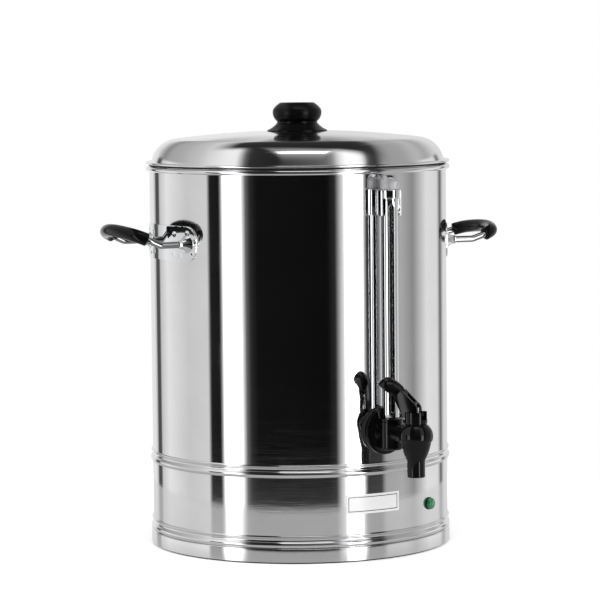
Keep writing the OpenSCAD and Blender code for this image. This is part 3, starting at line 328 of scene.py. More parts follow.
def block(low, high, place=Matrix(), edge=0.0, segments=3):
    """A box between two corners with rounded edges."""
    bm = bmesh.new()
    middle = (Vector(low) + Vector(high)) / 2
    size = Vector(high) - Vector(low)
    bmesh.ops.create_cube(bm, size=1, matrix=Matrix.Translation(middle) @ Matrix.Diagonal((*size, 1)))
    if edge:
        soften(bm, edge, segments)
    move(bm, place)
    return bm


def piece(name, bm, finish, body, nodes=(), crease=38):
    """Makes the finished object, smooth except at its creases.

    It rides on a body in place of its CAD nodes.
    """
    bmesh.ops.remove_doubles(bm, verts=bm.verts[:], dist=1e-7)
    bmesh.ops.recalc_face_normals(bm, faces=bm.faces[:])
    for face in bm.faces:
        face.smooth = True
    for edge in corners(bm, crease):
        edge.smooth = False
    mesh = bpy.data.meshes.new(name)
    bm.to_mesh(mesh)
    bm.free()
    mesh.materials.append(finish)
    obj = bpy.data.objects.new(name, mesh)
    bpy.context.scene.collection.objects.link(obj)
    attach(obj, body)
    if nodes:
        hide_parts(*nodes)
    return obj


# Finishes

def group_tree(name, inputs, outputs):
    """An empty shader group with float inputs, given as name and default, and float outputs."""
    tree = bpy.data.node_groups.new(name, "ShaderNodeTree")
    for label, value in inputs:
        socket = tree.interface.new_socket(name=label, in_out="INPUT", socket_type="NodeSocketFloat")
        socket.default_value = value
    for label in outputs:
        tree.interface.new_socket(name=label, in_out="OUTPUT", socket_type="NodeSocketFloat")
    return tree, tree.nodes.new("NodeGroupInput"), tree.nodes.new("NodeGroupOutput")


def noise_node(tree, vector, detail, roughness=0.5):
    node = tree.nodes.new("ShaderNodeTexNoise")
    node.inputs["Scale"].default_value = 1
    node.inputs["Detail"].default_value = detail
    node.inputs["Roughness"].default_value = roughness
    tree.links.new(vector, node.inputs["Vector"])
    return node


def math_node(tree, operation, *values):
    node = tree.nodes.new("ShaderNodeMath")
    node.operation = operation
    for socket, value in zip(node.inputs, values):
        if isinstance(value, bpy.types.NodeSocket):
            tree.links.new(value, socket)
        else:
            socket.default_value = value
    return node.outputs[0]


def spread_node(tree, value, low, high, start=0.3, end=0.7):
    """Spreads a value that runs from start to end between two sockets or numbers."""
    node = tree.nodes.new("ShaderNodeMapRange")
    node.inputs["From Min"].default_value = start
    node.inputs["From Max"].default_value = end
    tree.links.new(value, node.inputs["Value"])
    for label, target in (("To Min", low), ("To Max", high)):
        if isinstance(target, bpy.types.NodeSocket):
            tree.links.new(target, node.inputs[label])
        else:
            node.inputs[label].default_value = target
    return node.outputs["Result"]


def mix_node(tree, share, first, second):
    node = tree.nodes.new("ShaderNodeMix")
    for socket, value in ((node.inputs[0], share), (node.inputs[2], first), (node.inputs[3], second)):
        if isinstance(value, bpy.types.NodeSocket):
            tree.links.new(value, socket)
        else:
            socket.default_value = value
    return node.outputs[0]


def scaled_place(tree, along, across):
    """Object coordinates, scaled along the vessel's axis and across it."""
    place = tree.nodes.new("ShaderNodeTexCoord")
    stretch = tree.nodes.new("ShaderNodeCombineXYZ")
    tree.links.new(across, stretch.inputs["X"])
    tree.links.new(across, stretch.inputs["Y"])
    tree.links.new(along, stretch.inputs["Z"])
    times = tree.nodes.new("ShaderNodeVectorMath")
    times.operation = "MULTIPLY"
    tree.links.new(place.outputs["Object"], times.inputs[0])
    tree.links.new(stretch.outputs[0], times.inputs[1])
    return times.outputs[0]


def polish_group():
    """Fine lines that a polishing wheel leaves round the axis."""
    tree, given, out = group_tree("Polish lines",
                                  (("Lines", 2600), ("Round", 14), ("Low", 0.04), ("High", 0.1)),
                                  ("Roughness", "Height"))
    lines = noise_node(tree, scaled_place(tree, given.outputs["Lines"], given.outputs["Round"]), 3)
    spread = spread_node(tree, lines.outputs["Fac"], given.outputs["Low"], given.outputs["High"])
    tree.links.new(spread, out.inputs["Roughness"])
    tree.links.new(lines.outputs["Fac"], out.inputs["Height"])
    return tree


def marks_group():
    """Soft wipe marks and handling marks."""
    tree, given, out = group_tree("Wipe marks", (("Size", 22), ("Low", 0.0), ("High", 0.04)),
                                  ("Amount", "Tone"))
    patches = noise_node(tree, scaled_place(tree, given.outputs["Size"], given.outputs["Size"]), 5, 0.62)
    spread = spread_node(tree, patches.outputs["Fac"], given.outputs["Low"], given.outputs["High"],
                         start=0.45, end=0.75)
    tree.links.new(spread, out.inputs["Amount"])
    tree.links.new(spread_node(tree, patches.outputs["Fac"], 0.0, 1.0), out.inputs["Tone"])
    return tree


def grain_group():
    """The fine even grain of a moulding."""
    tree, given, out = group_tree("Mould grain", (("Grain", 2200), ("Low", 0.2), ("High", 0.3)),
                                  ("Roughness", "Height"))
    grain = noise_node(tree, scaled_place(tree, given.outputs["Grain"], given.outputs["Grain"]), 2)
    tree.links.new(grain.outputs["Fac"], out.inputs["Height"])
    spread = spread_node(tree, grain.outputs["Fac"], given.outputs["Low"], given.outputs["High"])
    tree.links.new(spread, out.inputs["Roughness"])
    return tree


def group_node(tree, group, **values):
    node = tree.nodes.new("ShaderNodeGroup")
    node.node_tree = group
    for label, value in values.items():
        node.inputs[label].default_value = value
    return node


def surface(name, **values):
    """A material with one Principled shader whose plain sockets are set here."""
    finish = bpy.data.materials.new(name)
    finish.use_nodes = True
    shader = finish.node_tree.nodes["Principled BSDF"]
    for label, value in values.items():
        shader.inputs[label.replace("_", " ")].default_value = value
    return finish, finish.node_tree, shader


def two_tones(tree, shader, fac, first, second):
    mix = tree.nodes.new("ShaderNodeMix")
    mix.data_type = "RGBA"
    mix.inputs[6].default_value = (*first, 1)
    mix.inputs[7].default_value = (*second, 1)
    tree.links.new(fac, mix.inputs[0])
    tree.links.new(mix.outputs[2], shader.inputs["Base Color"])


def raised(tree, shader, height, strength, distance=0.0002):
    bump = tree.nodes.new("ShaderNodeBump")
    bump.inputs["Strength"].default_value = strength
    bump.inputs["Distance"].default_value = distance
    tree.links.new(height, bump.inputs["Height"])
    tree.links.new(bump.outputs["Normal"], shader.inputs["Normal"])


def shade(colour, times):
    return tuple(min(1, c * times) for c in colour)


class Finishes:
    """The urn's materials, each made once."""

    def __init__(self, colours):
        self.colours = colours
        self.polish = polish_group()
        self.marks = marks_group()
        self.grain = grain_group()
        self.mirror_steel = self.metal("Mirror steel", colours.steel, lines=2600, across=14,
                                       low=0.02, high=0.06, smear=0.03, depth=0.04)
        self.lid_steel = self.metal("Lid steel", colours.steel, lines=2600, across=14,
                                    low=0.07, high=0.11, smear=0.03, depth=0.04)
        self.frosted = self.frosted_cap()
        self.satin_steel = self.metal("Satin steel", shade(colours.steel, 0.85), lines=1500, across=30,
                                      low=0.22, high=0.36, smear=0.06, depth=0.2)
        self.chrome = self.metal("Chrome", colours.chrome, lines=900, across=300,
                                 low=0.015, high=0.035, smear=0.03, depth=0.005)
        # The rods take a copy of the chrome painted darker: painted shade that stands in for the darker
        # reflections the rods catch.
        self.rod_chrome_painted_dark = self.metal("Rod chrome painted dark", shade(colours.chrome, 0.42), lines=900, across=300,
                                    low=0.03, high=0.06, smear=0.03, depth=0.015)
        self.aluminium = self.metal("Aluminium", (0.72, 0.73, 0.74), lines=700, across=700,
                                    low=0.3, high=0.45, smear=0.08, depth=0.25)
        self.sheath = self.metal("Element sheath", (0.25, 0.235, 0.225), lines=500, across=500,
                                 low=0.35, high=0.5, smear=0.1, depth=0.3)
        self.black = self.moulding("Black moulding", colours.black, grain=1900,
                                   low=0.10, high=0.16, depth=0.05, gloss=0.17)
        self.black_soft = self.moulding("Soft black moulding", colours.black, grain=1900,
                                        low=0.24, high=0.32, depth=0.05, gloss=0.16)
        self.black_gloss = self.moulding("Bright black moulding", colours.black, grain=1900,
                                         low=0.05, high=0.09, depth=0.04, gloss=0.28)
        self.black_matt = self.moulding("Black fitting", shade(colours.black, 4), grain=1500,
                                        low=0.34, high=0.46, depth=0.2, gloss=0.35)
        self.rubber = self.moulding("Rubber", colours.rubber, grain=1200,
                                    low=0.6, high=0.8, depth=0.35, gloss=0.3)
        self.ceramic = self.moulding("White ceramic", (0.78, 0.76, 0.72), grain=900,
                                     low=0.3, high=0.42, depth=0.12, gloss=0.5)
        self.glass = self.clear_glass()
        self.lens = self.green_lens()
        self.enamel = self.bare_enamel()

    def metal(self, name, colour, lines, across, low, high, smear, depth):
        """Polished metal whose roughness runs from low to high, smeared by handling."""
        finish, tree, shader = surface(name, Metallic=1.0)
        polish = group_node(tree, self.polish, Lines=lines, Round=across, Low=low, High=high)
        marks = group_node(tree, self.marks, Low=0.0, High=smear)
        rough = math_node(tree, "ADD", polish.outputs["Roughness"], marks.outputs["Amount"])
        tree.links.new(rough, shader.inputs["Roughness"])
        two_tones(tree, shader, marks.outputs["Tone"], colour, shade(colour, 0.94))
        raised(tree, shader, polish.outputs["Height"], depth)
        return finish

    def frosted_cap(self):
        """Frosted metal that is polished at its top."""
        finish, tree, shader = surface("Frosted cap", Metallic=1.0)
        top = bpy.context.scene.urn_sizes.cap_top
        dull_below, bright_above = top - 0.0045, top - 0.0015
        place = tree.nodes.new("ShaderNodeTexCoord")
        up = tree.nodes.new("ShaderNodeSeparateXYZ")
        tree.links.new(place.outputs["Object"], up.inputs[0])
        fine = group_node(tree, self.grain, Grain=1600, Low=-0.03, High=0.03)
        rough = spread_node(tree, up.outputs["Z"], 0.70, 0.12, dull_below, bright_above)
        tree.links.new(math_node(tree, "ADD", rough, fine.outputs["Roughness"]), shader.inputs["Roughness"])
        two_tones(tree, shader, fine.outputs["Height"], (0.78, 0.78, 0.80), (0.72, 0.72, 0.74))
        raised(tree, shader, fine.outputs["Height"], 0.05)
        return finish

    def moulding(self, name, colour, grain, low, high, depth, gloss):
        """A moulding whose fine grain makes its roughness run from low to high."""
        finish, tree, shader = surface(name, Specular_IOR_Level=gloss)
        fine = group_node(tree, self.grain, Grain=grain, Low=low, High=high)
        marks = group_node(tree, self.marks, Size=60, Low=0.0, High=0.05)
        rough = math_node(tree, "ADD", fine.outputs["Roughness"], marks.outputs["Amount"])
        tree.links.new(rough, shader.inputs["Roughness"])
        two_tones(tree, shader, marks.outputs["Tone"], colour, shade(colour, 1.35))
        raised(tree, shader, fine.outputs["Height"], depth)
        return finish

    def clear_glass(self):
        finish, tree, shader = surface("Sight glass", IOR=1.47, Transmission_Weight=1.0)
        marks = group_node(tree, self.marks, Size=90, Low=0.0, High=0.01)
        tree.links.new(marks.outputs["Amount"], shader.inputs["Roughness"])
        two_tones(tree, shader, marks.outputs["Tone"], (0.40, 0.41, 0.41), (0.36, 0.37, 0.37))
        return finish

    def green_lens(self):
        """Grained green plastic under a clear coat."""
        finish, tree, shader = surface("Green lens", Coat_Weight=1.0, Coat_Roughness=0.03, IOR=1.49)
        fine = group_node(tree, self.grain, Grain=900, Low=0.08, High=0.16)
        tree.links.new(fine.outputs["Roughness"], shader.inputs["Roughness"])
        dark, light = shade(self.colours.lens, 0.7), shade(self.colours.lens, 1.3)
        two_tones(tree, shader, fine.outputs["Height"], dark, light)
        raised(tree, shader, fine.outputs["Height"], 0.15, distance=0.0003)
        return finish

    def bare_enamel(self):
        """White enamel with a thin plain border, drawn by the plate's own map."""
        finish, tree, shader = surface("Plate enamel", Coat_Weight=0.3, Coat_Roughness=0.1)
        spot = tree.nodes.new("ShaderNodeUVMap")
        spot.uv_map = "plate"
        sides = tree.nodes.new("ShaderNodeSeparateXYZ")
        tree.links.new(spot.outputs["UV"], sides.inputs[0])
        # The map runs in millimetres from the plate's edge, so the line lies between two distances
        line_in, line_half = 2.5, 0.38
        edge = math_node(tree, "MINIMUM", sides.outputs["X"], sides.outputs["Y"])
        line = math_node(tree, "COMPARE", edge, line_in, line_half)
        marks = group_node(tree, self.marks, Size=120, Low=0.2, High=0.3)
        tree.links.new(marks.outputs["Amount"], shader.inputs["Roughness"])
        two_tones(tree, shader, line, self.colours.enamel, self.colours.line)
        return finish


FINISHES = {}


def finishes():
    """The materials, made when a first piece asks for them."""
    if "made" not in FINISHES:
        FINISHES["made"] = Finishes(bpy.context.scene.urn_finish)
    return FINISHES["made"]


# Vessel and base

class URN_OT_vessel(bpy.types.Operator):
    """Turns the vessel from one closed section: floor, plug, wall and rolled rim"""
    bl_idname = "urn.vessel"
    bl_label = "Vessel"

    def execute(self, context):
        s = context.scene.urn_sizes
        inner = s.vessel_radius - s.sheet
        plug = inner - FIT
        roll_x, roll_z = inner + s.rim_roll, s.rim_height - s.rim_roll
        meet = acos((s.vessel_radius - roll_x) / s.rim_roll)
        rows, floor_middle = 12, 0.02
        stud_low, stud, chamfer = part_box("tank")[0].z, 0.004, 0.0005

        def section(bm):
            pen = Pen(bm, 0, s.floor_height)
            pen.line(plug, s.floor_height).line(plug, s.base_height).line(s.vessel_radius, s.base_height)
            for step in range(1, rows):
                pen.line(s.vessel_radius, s.base_height + (roll_z - s.base_height) * step / rows)
            pen.line(s.vessel_radius, roll_z - s.rim_roll * sin(meet))
            pen.arc(roll_x, roll_z, 180 + degrees(meet), 28)
            pen.line(inner, s.base_height + s.sheet).line(plug - s.sheet, s.base_height + s.sheet)
            pen.line(plug - s.sheet, s.floor_height + s.sheet).line(floor_middle, s.floor_height + s.sheet)
            pen.line(0, s.floor_height + s.sheet)

        def stud_section(bm):
            pen = Pen(bm, 0, stud_low)
            pen.line(stud - chamfer, stud_low).line(stud, stud_low + chamfer)
            pen.line(stud, s.floor_height).line(0, s.floor_height)

        bm = turned(section, 256)
        join(bm, turned(stud_section, 32))
        piece("vessel", bm, finishes().mirror_steel, "urn", ["tank"])
        return {"FINISHED"}


def cut_window(bm, place, half_width, half_height):
    """Cuts a window out of a wall round a place that looks outwards."""
    back, margin = place.inverted(), 0.02

    def near():
        return [f for f in bm.faces if (back @ f.calc_center_median()).x > -margin
                and abs((back @ f.calc_center_median()).y) < half_width + margin]

    for point, normal in (((0, half_width, 0), (0, 1, 0)), ((0, -half_width, 0), (0, 1, 0)),
                          ((0, 0, half_height), (0, 0, 1)), ((0, 0, -half_height), (0, 0, 1))):
        faces = near()
        edges, verts = {e for f in faces for e in f.edges}, {v for f in faces for v in f.verts}
        geom = list(edges) + list(verts) + faces
        bmesh.ops.bisect_plane(bm, geom=geom, plane_co=place @ Vector(point),
                               plane_no=place.to_3x3() @ Vector(normal), dist=1e-7)
    inside = [f for f in near() if abs((back @ f.calc_center_median()).y) < half_width
              and abs((back @ f.calc_center_median()).z) < half_height]
    if not inside:
        raise RuntimeError("the base has no wall where its window goes")
    bmesh.ops.delete(bm, geom=inside, context="FACES")


class URN_OT_base(bpy.types.Operator):
    """Turns the base shell with its beads and band, cuts its windows and thickens it"""
    bl_idname = "urn.base"
    bl_label = "Base shell"

    def execute(self, context):
        s = context.scene.urn_sizes
        wall, edge, rows = s.vessel_radius, 0.0008, 6
        lean, tilt, foot = radians(60), radians(52), 0.0004
        inlet_window, switch_window = (0.01415, 0.0104), (0.0065, 0.010)
        band_in, lip_low, lip_high, lip_width = wall + s.band_step - s.sheet, 0.006, 0.0072, 0.018
        cove_x = wall + foot + (s.ridge_radius + s.cove_radius) * cos(lean)
        cove_drop = s.ridge_radius + (s.ridge_radius + s.cove_radius) * sin(lean)
        bead_x = cove_x - (s.cove_radius + s.bead_radius) * cos(tilt)
        bead_drop = cove_drop + (s.cove_radius + s.bead_radius) * sin(tilt)
        back = acos((wall - bead_x) / s.bead_radius)
        rib_height = bead_drop + s.bead_radius * sin(back)

        def rib(pen, top):
            """A narrow ridge that runs through a cove into a fuller bead."""
            pen.line(wall + foot, top)
            pen.arc(wall + foot, top - s.ridge_radius, -90 - degrees(lean), 16)
            pen.arc(cove_x, top - cove_drop, degrees(lean + tilt), 20)
            pen.arc(bead_x, top - bead_drop, -degrees(tilt + back), 20)

        def outside(bm):
            pen = Pen(bm, wall - s.sheet, s.base_height)
            rib(pen, s.base_height)
            start, stop = s.base_height - rib_height, s.band_height + rib_height
            for step in range(1, rows + 1):
                pen.line(wall, start + (stop - start) * step / rows)
            rib(pen, stop)
            pen.line(wall + s.band_step - edge, s.band_height)
            pen.arc(wall + s.band_step - edge, s.band_height - edge, -90, 5)
            pen.line(wall + s.band_step, s.foot_gap)

        def lip(bm):
            pen = Pen(bm, band_in, lip_low)
            pen.line(band_in - lip_width, lip_low).line(band_in - lip_width, lip_high)
            pen.line(band_in, lip_high).line(band_in, lip_low)

        bm = turned(outside, 256)
        cut_window(bm, facing(BACK, wall, s.back_height), *inlet_window)
        cut_window(bm, facing(s.switch_angle, wall, s.back_height), *switch_window)
        bmesh.ops.recalc_face_normals(bm, faces=bm.faces[:])
        bmesh.ops.solidify(bm, geom=bm.faces[:], thickness=s.sheet)
        join(bm, turned(lip, 192))
        piece("base_skirt", bm, finishes().mirror_steel, "urn", ["base_shell"])
        return {"FINISHED"}


class URN_OT_label(bpy.types.Operator):
    """Lays the bare enamelled plate on the base"""
    bl_idname = "urn.label"
    bl_label = "Bare plate"

    def execute(self, context):
        s = context.scene.urn_sizes
        bm = bmesh.new()
        made = bmesh.ops.create_grid(bm, x_segments=40, y_segments=12, size=1)["verts"]
        layer = bm.loops.layers.uv.new("plate")
        half = Vector((s.label_width / 2, s.label_tall / 2))
        face_out, back_out, millimetres = 0.0004, 0.00002, 1000
        flat = {v: (v.co.x * half.x, v.co.y * half.y) for v in made}
        for face in bm.faces:
            for loop in face.loops:
                x, z = flat[loop.vert]
                loop[layer].uv = ((half.x - abs(x)) * millimetres, (half.y - abs(z)) * millimetres)
        top = set(verts_of(bmesh.ops.extrude_face_region(bm, geom=bm.faces[:])["geom"]))
        for v in bm.verts:
            out = s.vessel_radius + (face_out if v in top else back_out)
            turn = s.label_angle + v.co.x * half.x / s.vessel_radius
            v.co = (out * cos(turn), out * sin(turn), s.label_height + v.co.y * half.y)
        piece("plate", bm, finishes().enamel, "urn", crease=50)
        return {"FINISHED"}


# Lid

class URN_OT_lid(bpy.types.Operator):
    """Turns the lid from one closed section and its knob"""
    bl_idname = "urn.lid"
    bl_label = "Lid"

    def execute(self, context):
        s = context.scene.urn_sizes
        self.shell(s)
        self.knob(s)
        return {"FINISHED"}

    def shell(self, s):
        middle = s.lid_radius - s.shoulder_radius
        lean = asin(middle / (s.crown_radius - s.shoulder_radius))
        shoulder_z = s.lid_crown - s.crown_radius + (s.crown_radius - s.shoulder_radius) * cos(lean)
        ledge = s.lid_seat + s.flange_height
        rise = asin((ledge - shoulder_z) / s.shoulder_radius)
        inner_round = s.shoulder_radius - s.sheet
        inner_rise = asin((ledge - shoulder_z) / inner_round)
        edge = s.flange_height * 0.3
        under = ledge - 2 * edge
        bead_out, bead_top, bead_edge = s.flange_radius - 0.003, under - 0.0001, 0.0004

        def section(bm):
            pen = Pen(bm, 0, s.lid_crown)
            pen.arc(0, s.lid_crown - s.crown_radius, -degrees(lean), 40)
            pen.arc(middle, shoulder_z, -(90 - degrees(lean) - degrees(rise)), 40)
            pen.line(s.flange_radius - edge, ledge)
            pen.arc(s.flange_radius - edge, ledge - edge, -180, 16)
            pen.line(s.lip_radius, under).line(s.lip_radius, s.lid_seat - s.lip_depth)
            pen.line(s.lip_radius - s.sheet, s.lid_seat - s.lip_depth).line(s.lip_radius - s.sheet, ledge)
            pen.line(middle + inner_round * cos(inner_rise), ledge)
            pen.arc(middle, shoulder_z, 90 - degrees(lean) - degrees(inner_rise), 24)
            pen.arc(0, s.lid_crown - s.crown_radius, degrees(lean), 24)

        # The black rubber ring under the flange is painted shade: a dark ring set in the gap between the
        # flange and the vessel's rim, standing in for the gap's shadow.
        def bead(bm):
            pen = Pen(bm, s.lip_radius, s.lid_seat)
            pen.line(bead_out - bead_edge, s.lid_seat).line(bead_out, s.lid_seat + bead_edge)
            pen.line(bead_out, bead_top).line(s.lip_radius, bead_top).line(s.lip_radius, s.lid_seat)

        piece("lid_shell", turned(section, 256), finishes().lid_steel, "lid", ["lid"])
        piece("lid_shadow_ring", turned(bead, 192), finishes().rubber, "lid")

    def knob(self, s):
        """A knob with a nearly flat top, sloping shoulders, a band under its girth and a flared foot."""
        top, fall, edge = s.knob_top, 0.0002, 0.0022
        middle, flat = 0.4 * s.knob_radius, 0.66 * s.knob_radius
        girth_z, neck_z = top - s.knob_girth, top - 1.87 * s.knob_girth
        shoulder_x, shoulder_z = s.knob_radius - 0.0006, girth_z + 0.0032
        band_top, band_low = neck_z - 0.0003, neck_z - 0.0019
        over_x, under_x, under_z = s.knob_neck + 0.0004, s.knob_neck + 0.0005, neck_z - 0.0023
        foot_z, seat = s.lid_crown + 0.0004, s.lid_crown - 0.0003

        def section(bm):
            pen = Pen(bm, 0, top)
            pen.line(middle, top - fall / 4).line(flat, top - fall)
            pen.arc(flat, top - fall - edge, -42, 8)
            pen.bow(shoulder_x, shoulder_z, -0.00045, 12)
            pen.bow(s.knob_radius, girth_z, -0.0001, 6)
            pen.bow(over_x, neck_z, -0.001, 16)
            pen.line(s.knob_neck, band_top).line(s.knob_neck, band_low).line(under_x, under_z)
            pen.bow(s.knob_foot, foot_z, 0.0007, 18)
            pen.line(s.knob_foot, seat).line(0, seat + 0.0001)

        piece("knob", turned(section, 128), finishes().black_soft, "lid", ["lid_knob"])


# Handles

class URN_OT_handles(bpy.types.Operator):
    """Makes both handles: welded plate, flared bosses, bent rod and moulded grip"""
    bl_idname = "urn.handles"
    bl_label = "Handles"

    def execute(self, context):
        s = context.scene.urn_sizes
        for side, angle, height, tilt in (("left", s.left_angle, s.left_height, s.left_tilt),
                                          ("right", s.right_angle, s.right_height, s.right_tilt)):
            place = facing(angle, 0, height)
            self.pad(s, side, place)
            self.bosses(s, side, place)
            self.rod(s, side, place, tilt)
            self.grip(s, side, place, tilt)
        return {"FINISHED"}

    def pad(self, s, side, place):
        """A plate with rounded corners, bent round the vessel, with its spot welds pressed in."""
        weld_radius, weld_depth = 0.0021, 0.0005
        spots = ((0.050, -0.009), (0.0435, 0.0105), (0.033, -0.0115), (0.024, 0.009), (0.022, -0.0095))
        welds = [(sign * y, z) for sign in (-1, 1) for y, z in spots]
        bm = bmesh.new()
        made = bmesh.ops.create_grid(bm, x_segments=120, y_segments=40, size=1)["verts"]
        for v in made:
            y = s.pad_half * sin(v.co.x * pi / 2)
            past = max(0.0, abs(y) - s.pad_half + s.pad_corner)
            half = s.pad_height / 2 - s.pad_corner + sqrt(max(0.0, s.pad_corner ** 2 - past ** 2))
            z = half * v.co.y
            dip = sum(max(0.0, 1 - ((y - wy) ** 2 + (z - wz) ** 2) / weld_radius ** 2) for wy, wz in welds)
            v.co = (sqrt(s.pad_face ** 2 - y ** 2) - weld_depth * dip, y, z)
        back = bmesh.ops.extrude_face_region(bm, geom=bm.faces[:])["geom"]
        for v in verts_of(back):
            v.co.x = sqrt((s.pad_face - s.pad_thickness) ** 2 - v.co.y ** 2)
        soften(bm, 0.00035, 2, 60)
        move(bm, place)
        piece(side + "_pad", bm, finishes().chrome, "urn", [side + "_handle_plate"], crease=60)

    def bosses(self, s, side, place):
        """Two trumpet-shaped bosses whose feet follow the plate."""
        tip, bore = s.rod_radius + 0.001, s.rod_radius + FIT
        mouth, edge, socket = s.boss_length + 0.0005, 0.0003, 0.003
        flare = s.boss_radius - tip
        sweep = 2 * atan2(flare, s.boss_length)
        bend = s.boss_length / sin(sweep)
        foot_x = sqrt(s.pad_face ** 2 - s.arm_half ** 2)

        def section(bm):
            pen = Pen(bm, s.boss_radius, 0)
            pen.arc(tip + bend, s.boss_length, -degrees(sweep), 16)
            pen.line(tip, mouth - edge).line(tip - edge, mouth)
            pen.line(bore, mouth).line(bore, s.boss_length - socket)

        both = bmesh.new()
        for y in (-s.arm_half, s.arm_half):
            bm = turned(section, 64, Matrix.Translation((foot_x, y, 0)) @ ALONG_X)
            for v in bm.verts:
                share = max(0.0, 1 - (v.co.x - foot_x) / s.boss_length)
                v.co.x += (sqrt(s.pad_face ** 2 - v.co.y ** 2) - foot_x - 0.0001) * share ** 2
            join(both, bm)
        move(both, place)
        piece(side + "_bosses", both, finishes().chrome, "urn", [side + "_handle_bosses"])

    def rod(self, s, side, place, tilt):
        """A rod that runs out along one arm, bends up, goes round the bow and comes back along the other."""
        foot_x = sqrt(s.pad_face ** 2 - s.arm_half ** 2)
        elbow = 0.010
        take = elbow * tan(tilt / 2)
        bow = asin((s.arm_half - s.grip_corner) / (s.grip_bow - s.grip_corner))
        start = foot_x + 0.001
        bm = bmesh.new()
        place = place @ Matrix.Translation((start, -s.arm_half, 0)) @ ALONG_ARM
        tube = Tube(bm, place @ Matrix.Rotation(radians(90), 4, "Z"), s.rod_radius, 32)
        tube.close()
        tube.run(s.bend_out - take - start)
        tube.bend(elbow, tilt, 8)
        tube.run(s.grip_lead - take)
        tube.roll(radians(-90))
        tube.bend(s.grip_corner, pi / 2 - bow, 16)
        tube.bend(s.grip_bow, 2 * bow, 20)
        tube.bend(s.grip_corner, pi / 2 - bow, 16)
        tube.run(s.grip_lead - take)
        tube.roll(radians(90))
        tube.bend(elbow, tilt, 8)
        tube.run(s.bend_out - take - start)
        tube.close()
        piece(side + "_rod", bm, finishes().rod_chrome_painted_dark, "urn", [side + "_handle_rod"])

    def grip(self, s, side, place, tilt):
        """A moulded tube with rounded ends round the rod's bow."""
        nose, narrow, shoulder = 0.0012, 0.72, 0.88
        skip = radians(15) + nose / s.grip_corner
        bow = asin((s.arm_half - s.grip_corner) / (s.grip_bow - s.grip_corner))
        plane = place @ Matrix.Translation((s.bend_out, 0, 0)) @ Matrix.Rotation(-tilt, 4, "Y")
        corner = plane @ Matrix.Translation((s.grip_lead, s.grip_corner - s.arm_half, 0))
        bm = bmesh.new()
        start = (corner @ Matrix.Rotation(skip, 4, "Z") @ Matrix.Translation((0, -s.grip_corner, 0))
                 @ ALONG_ARM @ Matrix.Translation((0, 0, -nose)))
        tube = Tube(bm, start, s.grip_radius * narrow, 48)
        tube.close()
        tube.run(nose * 0.25, shoulder / narrow)
        tube.run(nose * 0.75, 1 / shoulder)
        tube.bend(s.grip_corner, pi / 2 - bow - skip, 20)
        tube.bend(s.grip_bow, 2 * bow, 32)
        tube.bend(s.grip_corner, pi / 2 - bow - skip, 20)
        tube.run(nose * 0.75, shoulder)
        tube.run(nose * 0.25, narrow / shoulder)
        tube.close()
        if side == "left":
            join(bm, self.nub(s, plane, bow))
        piece(side + "_grip", bm, finishes().black, "urn", [side + "_handle_grip"])

    def nub(self, s, plane, bow):
        """The flattened nub that the mould leaves under a grip."""
        outer = s.grip_lead - (s.grip_bow - s.grip_corner) * cos(bow) + s.grip_bow
        half_size, inward, aside, sunk = (0.0026, 0.0042, 0.0018), 0.0012, 0.006, 0.0003
        bm = bmesh.new()
        bmesh.ops.create_uvsphere(bm, u_segments=32, v_segments=16, radius=1, matrix=plane
                                  @ Matrix.Translation((outer - inward, aside, sunk - s.grip_radius))
                                  @ Matrix.Diagonal((*half_size, 1)))
        return bm


# Sight gauge

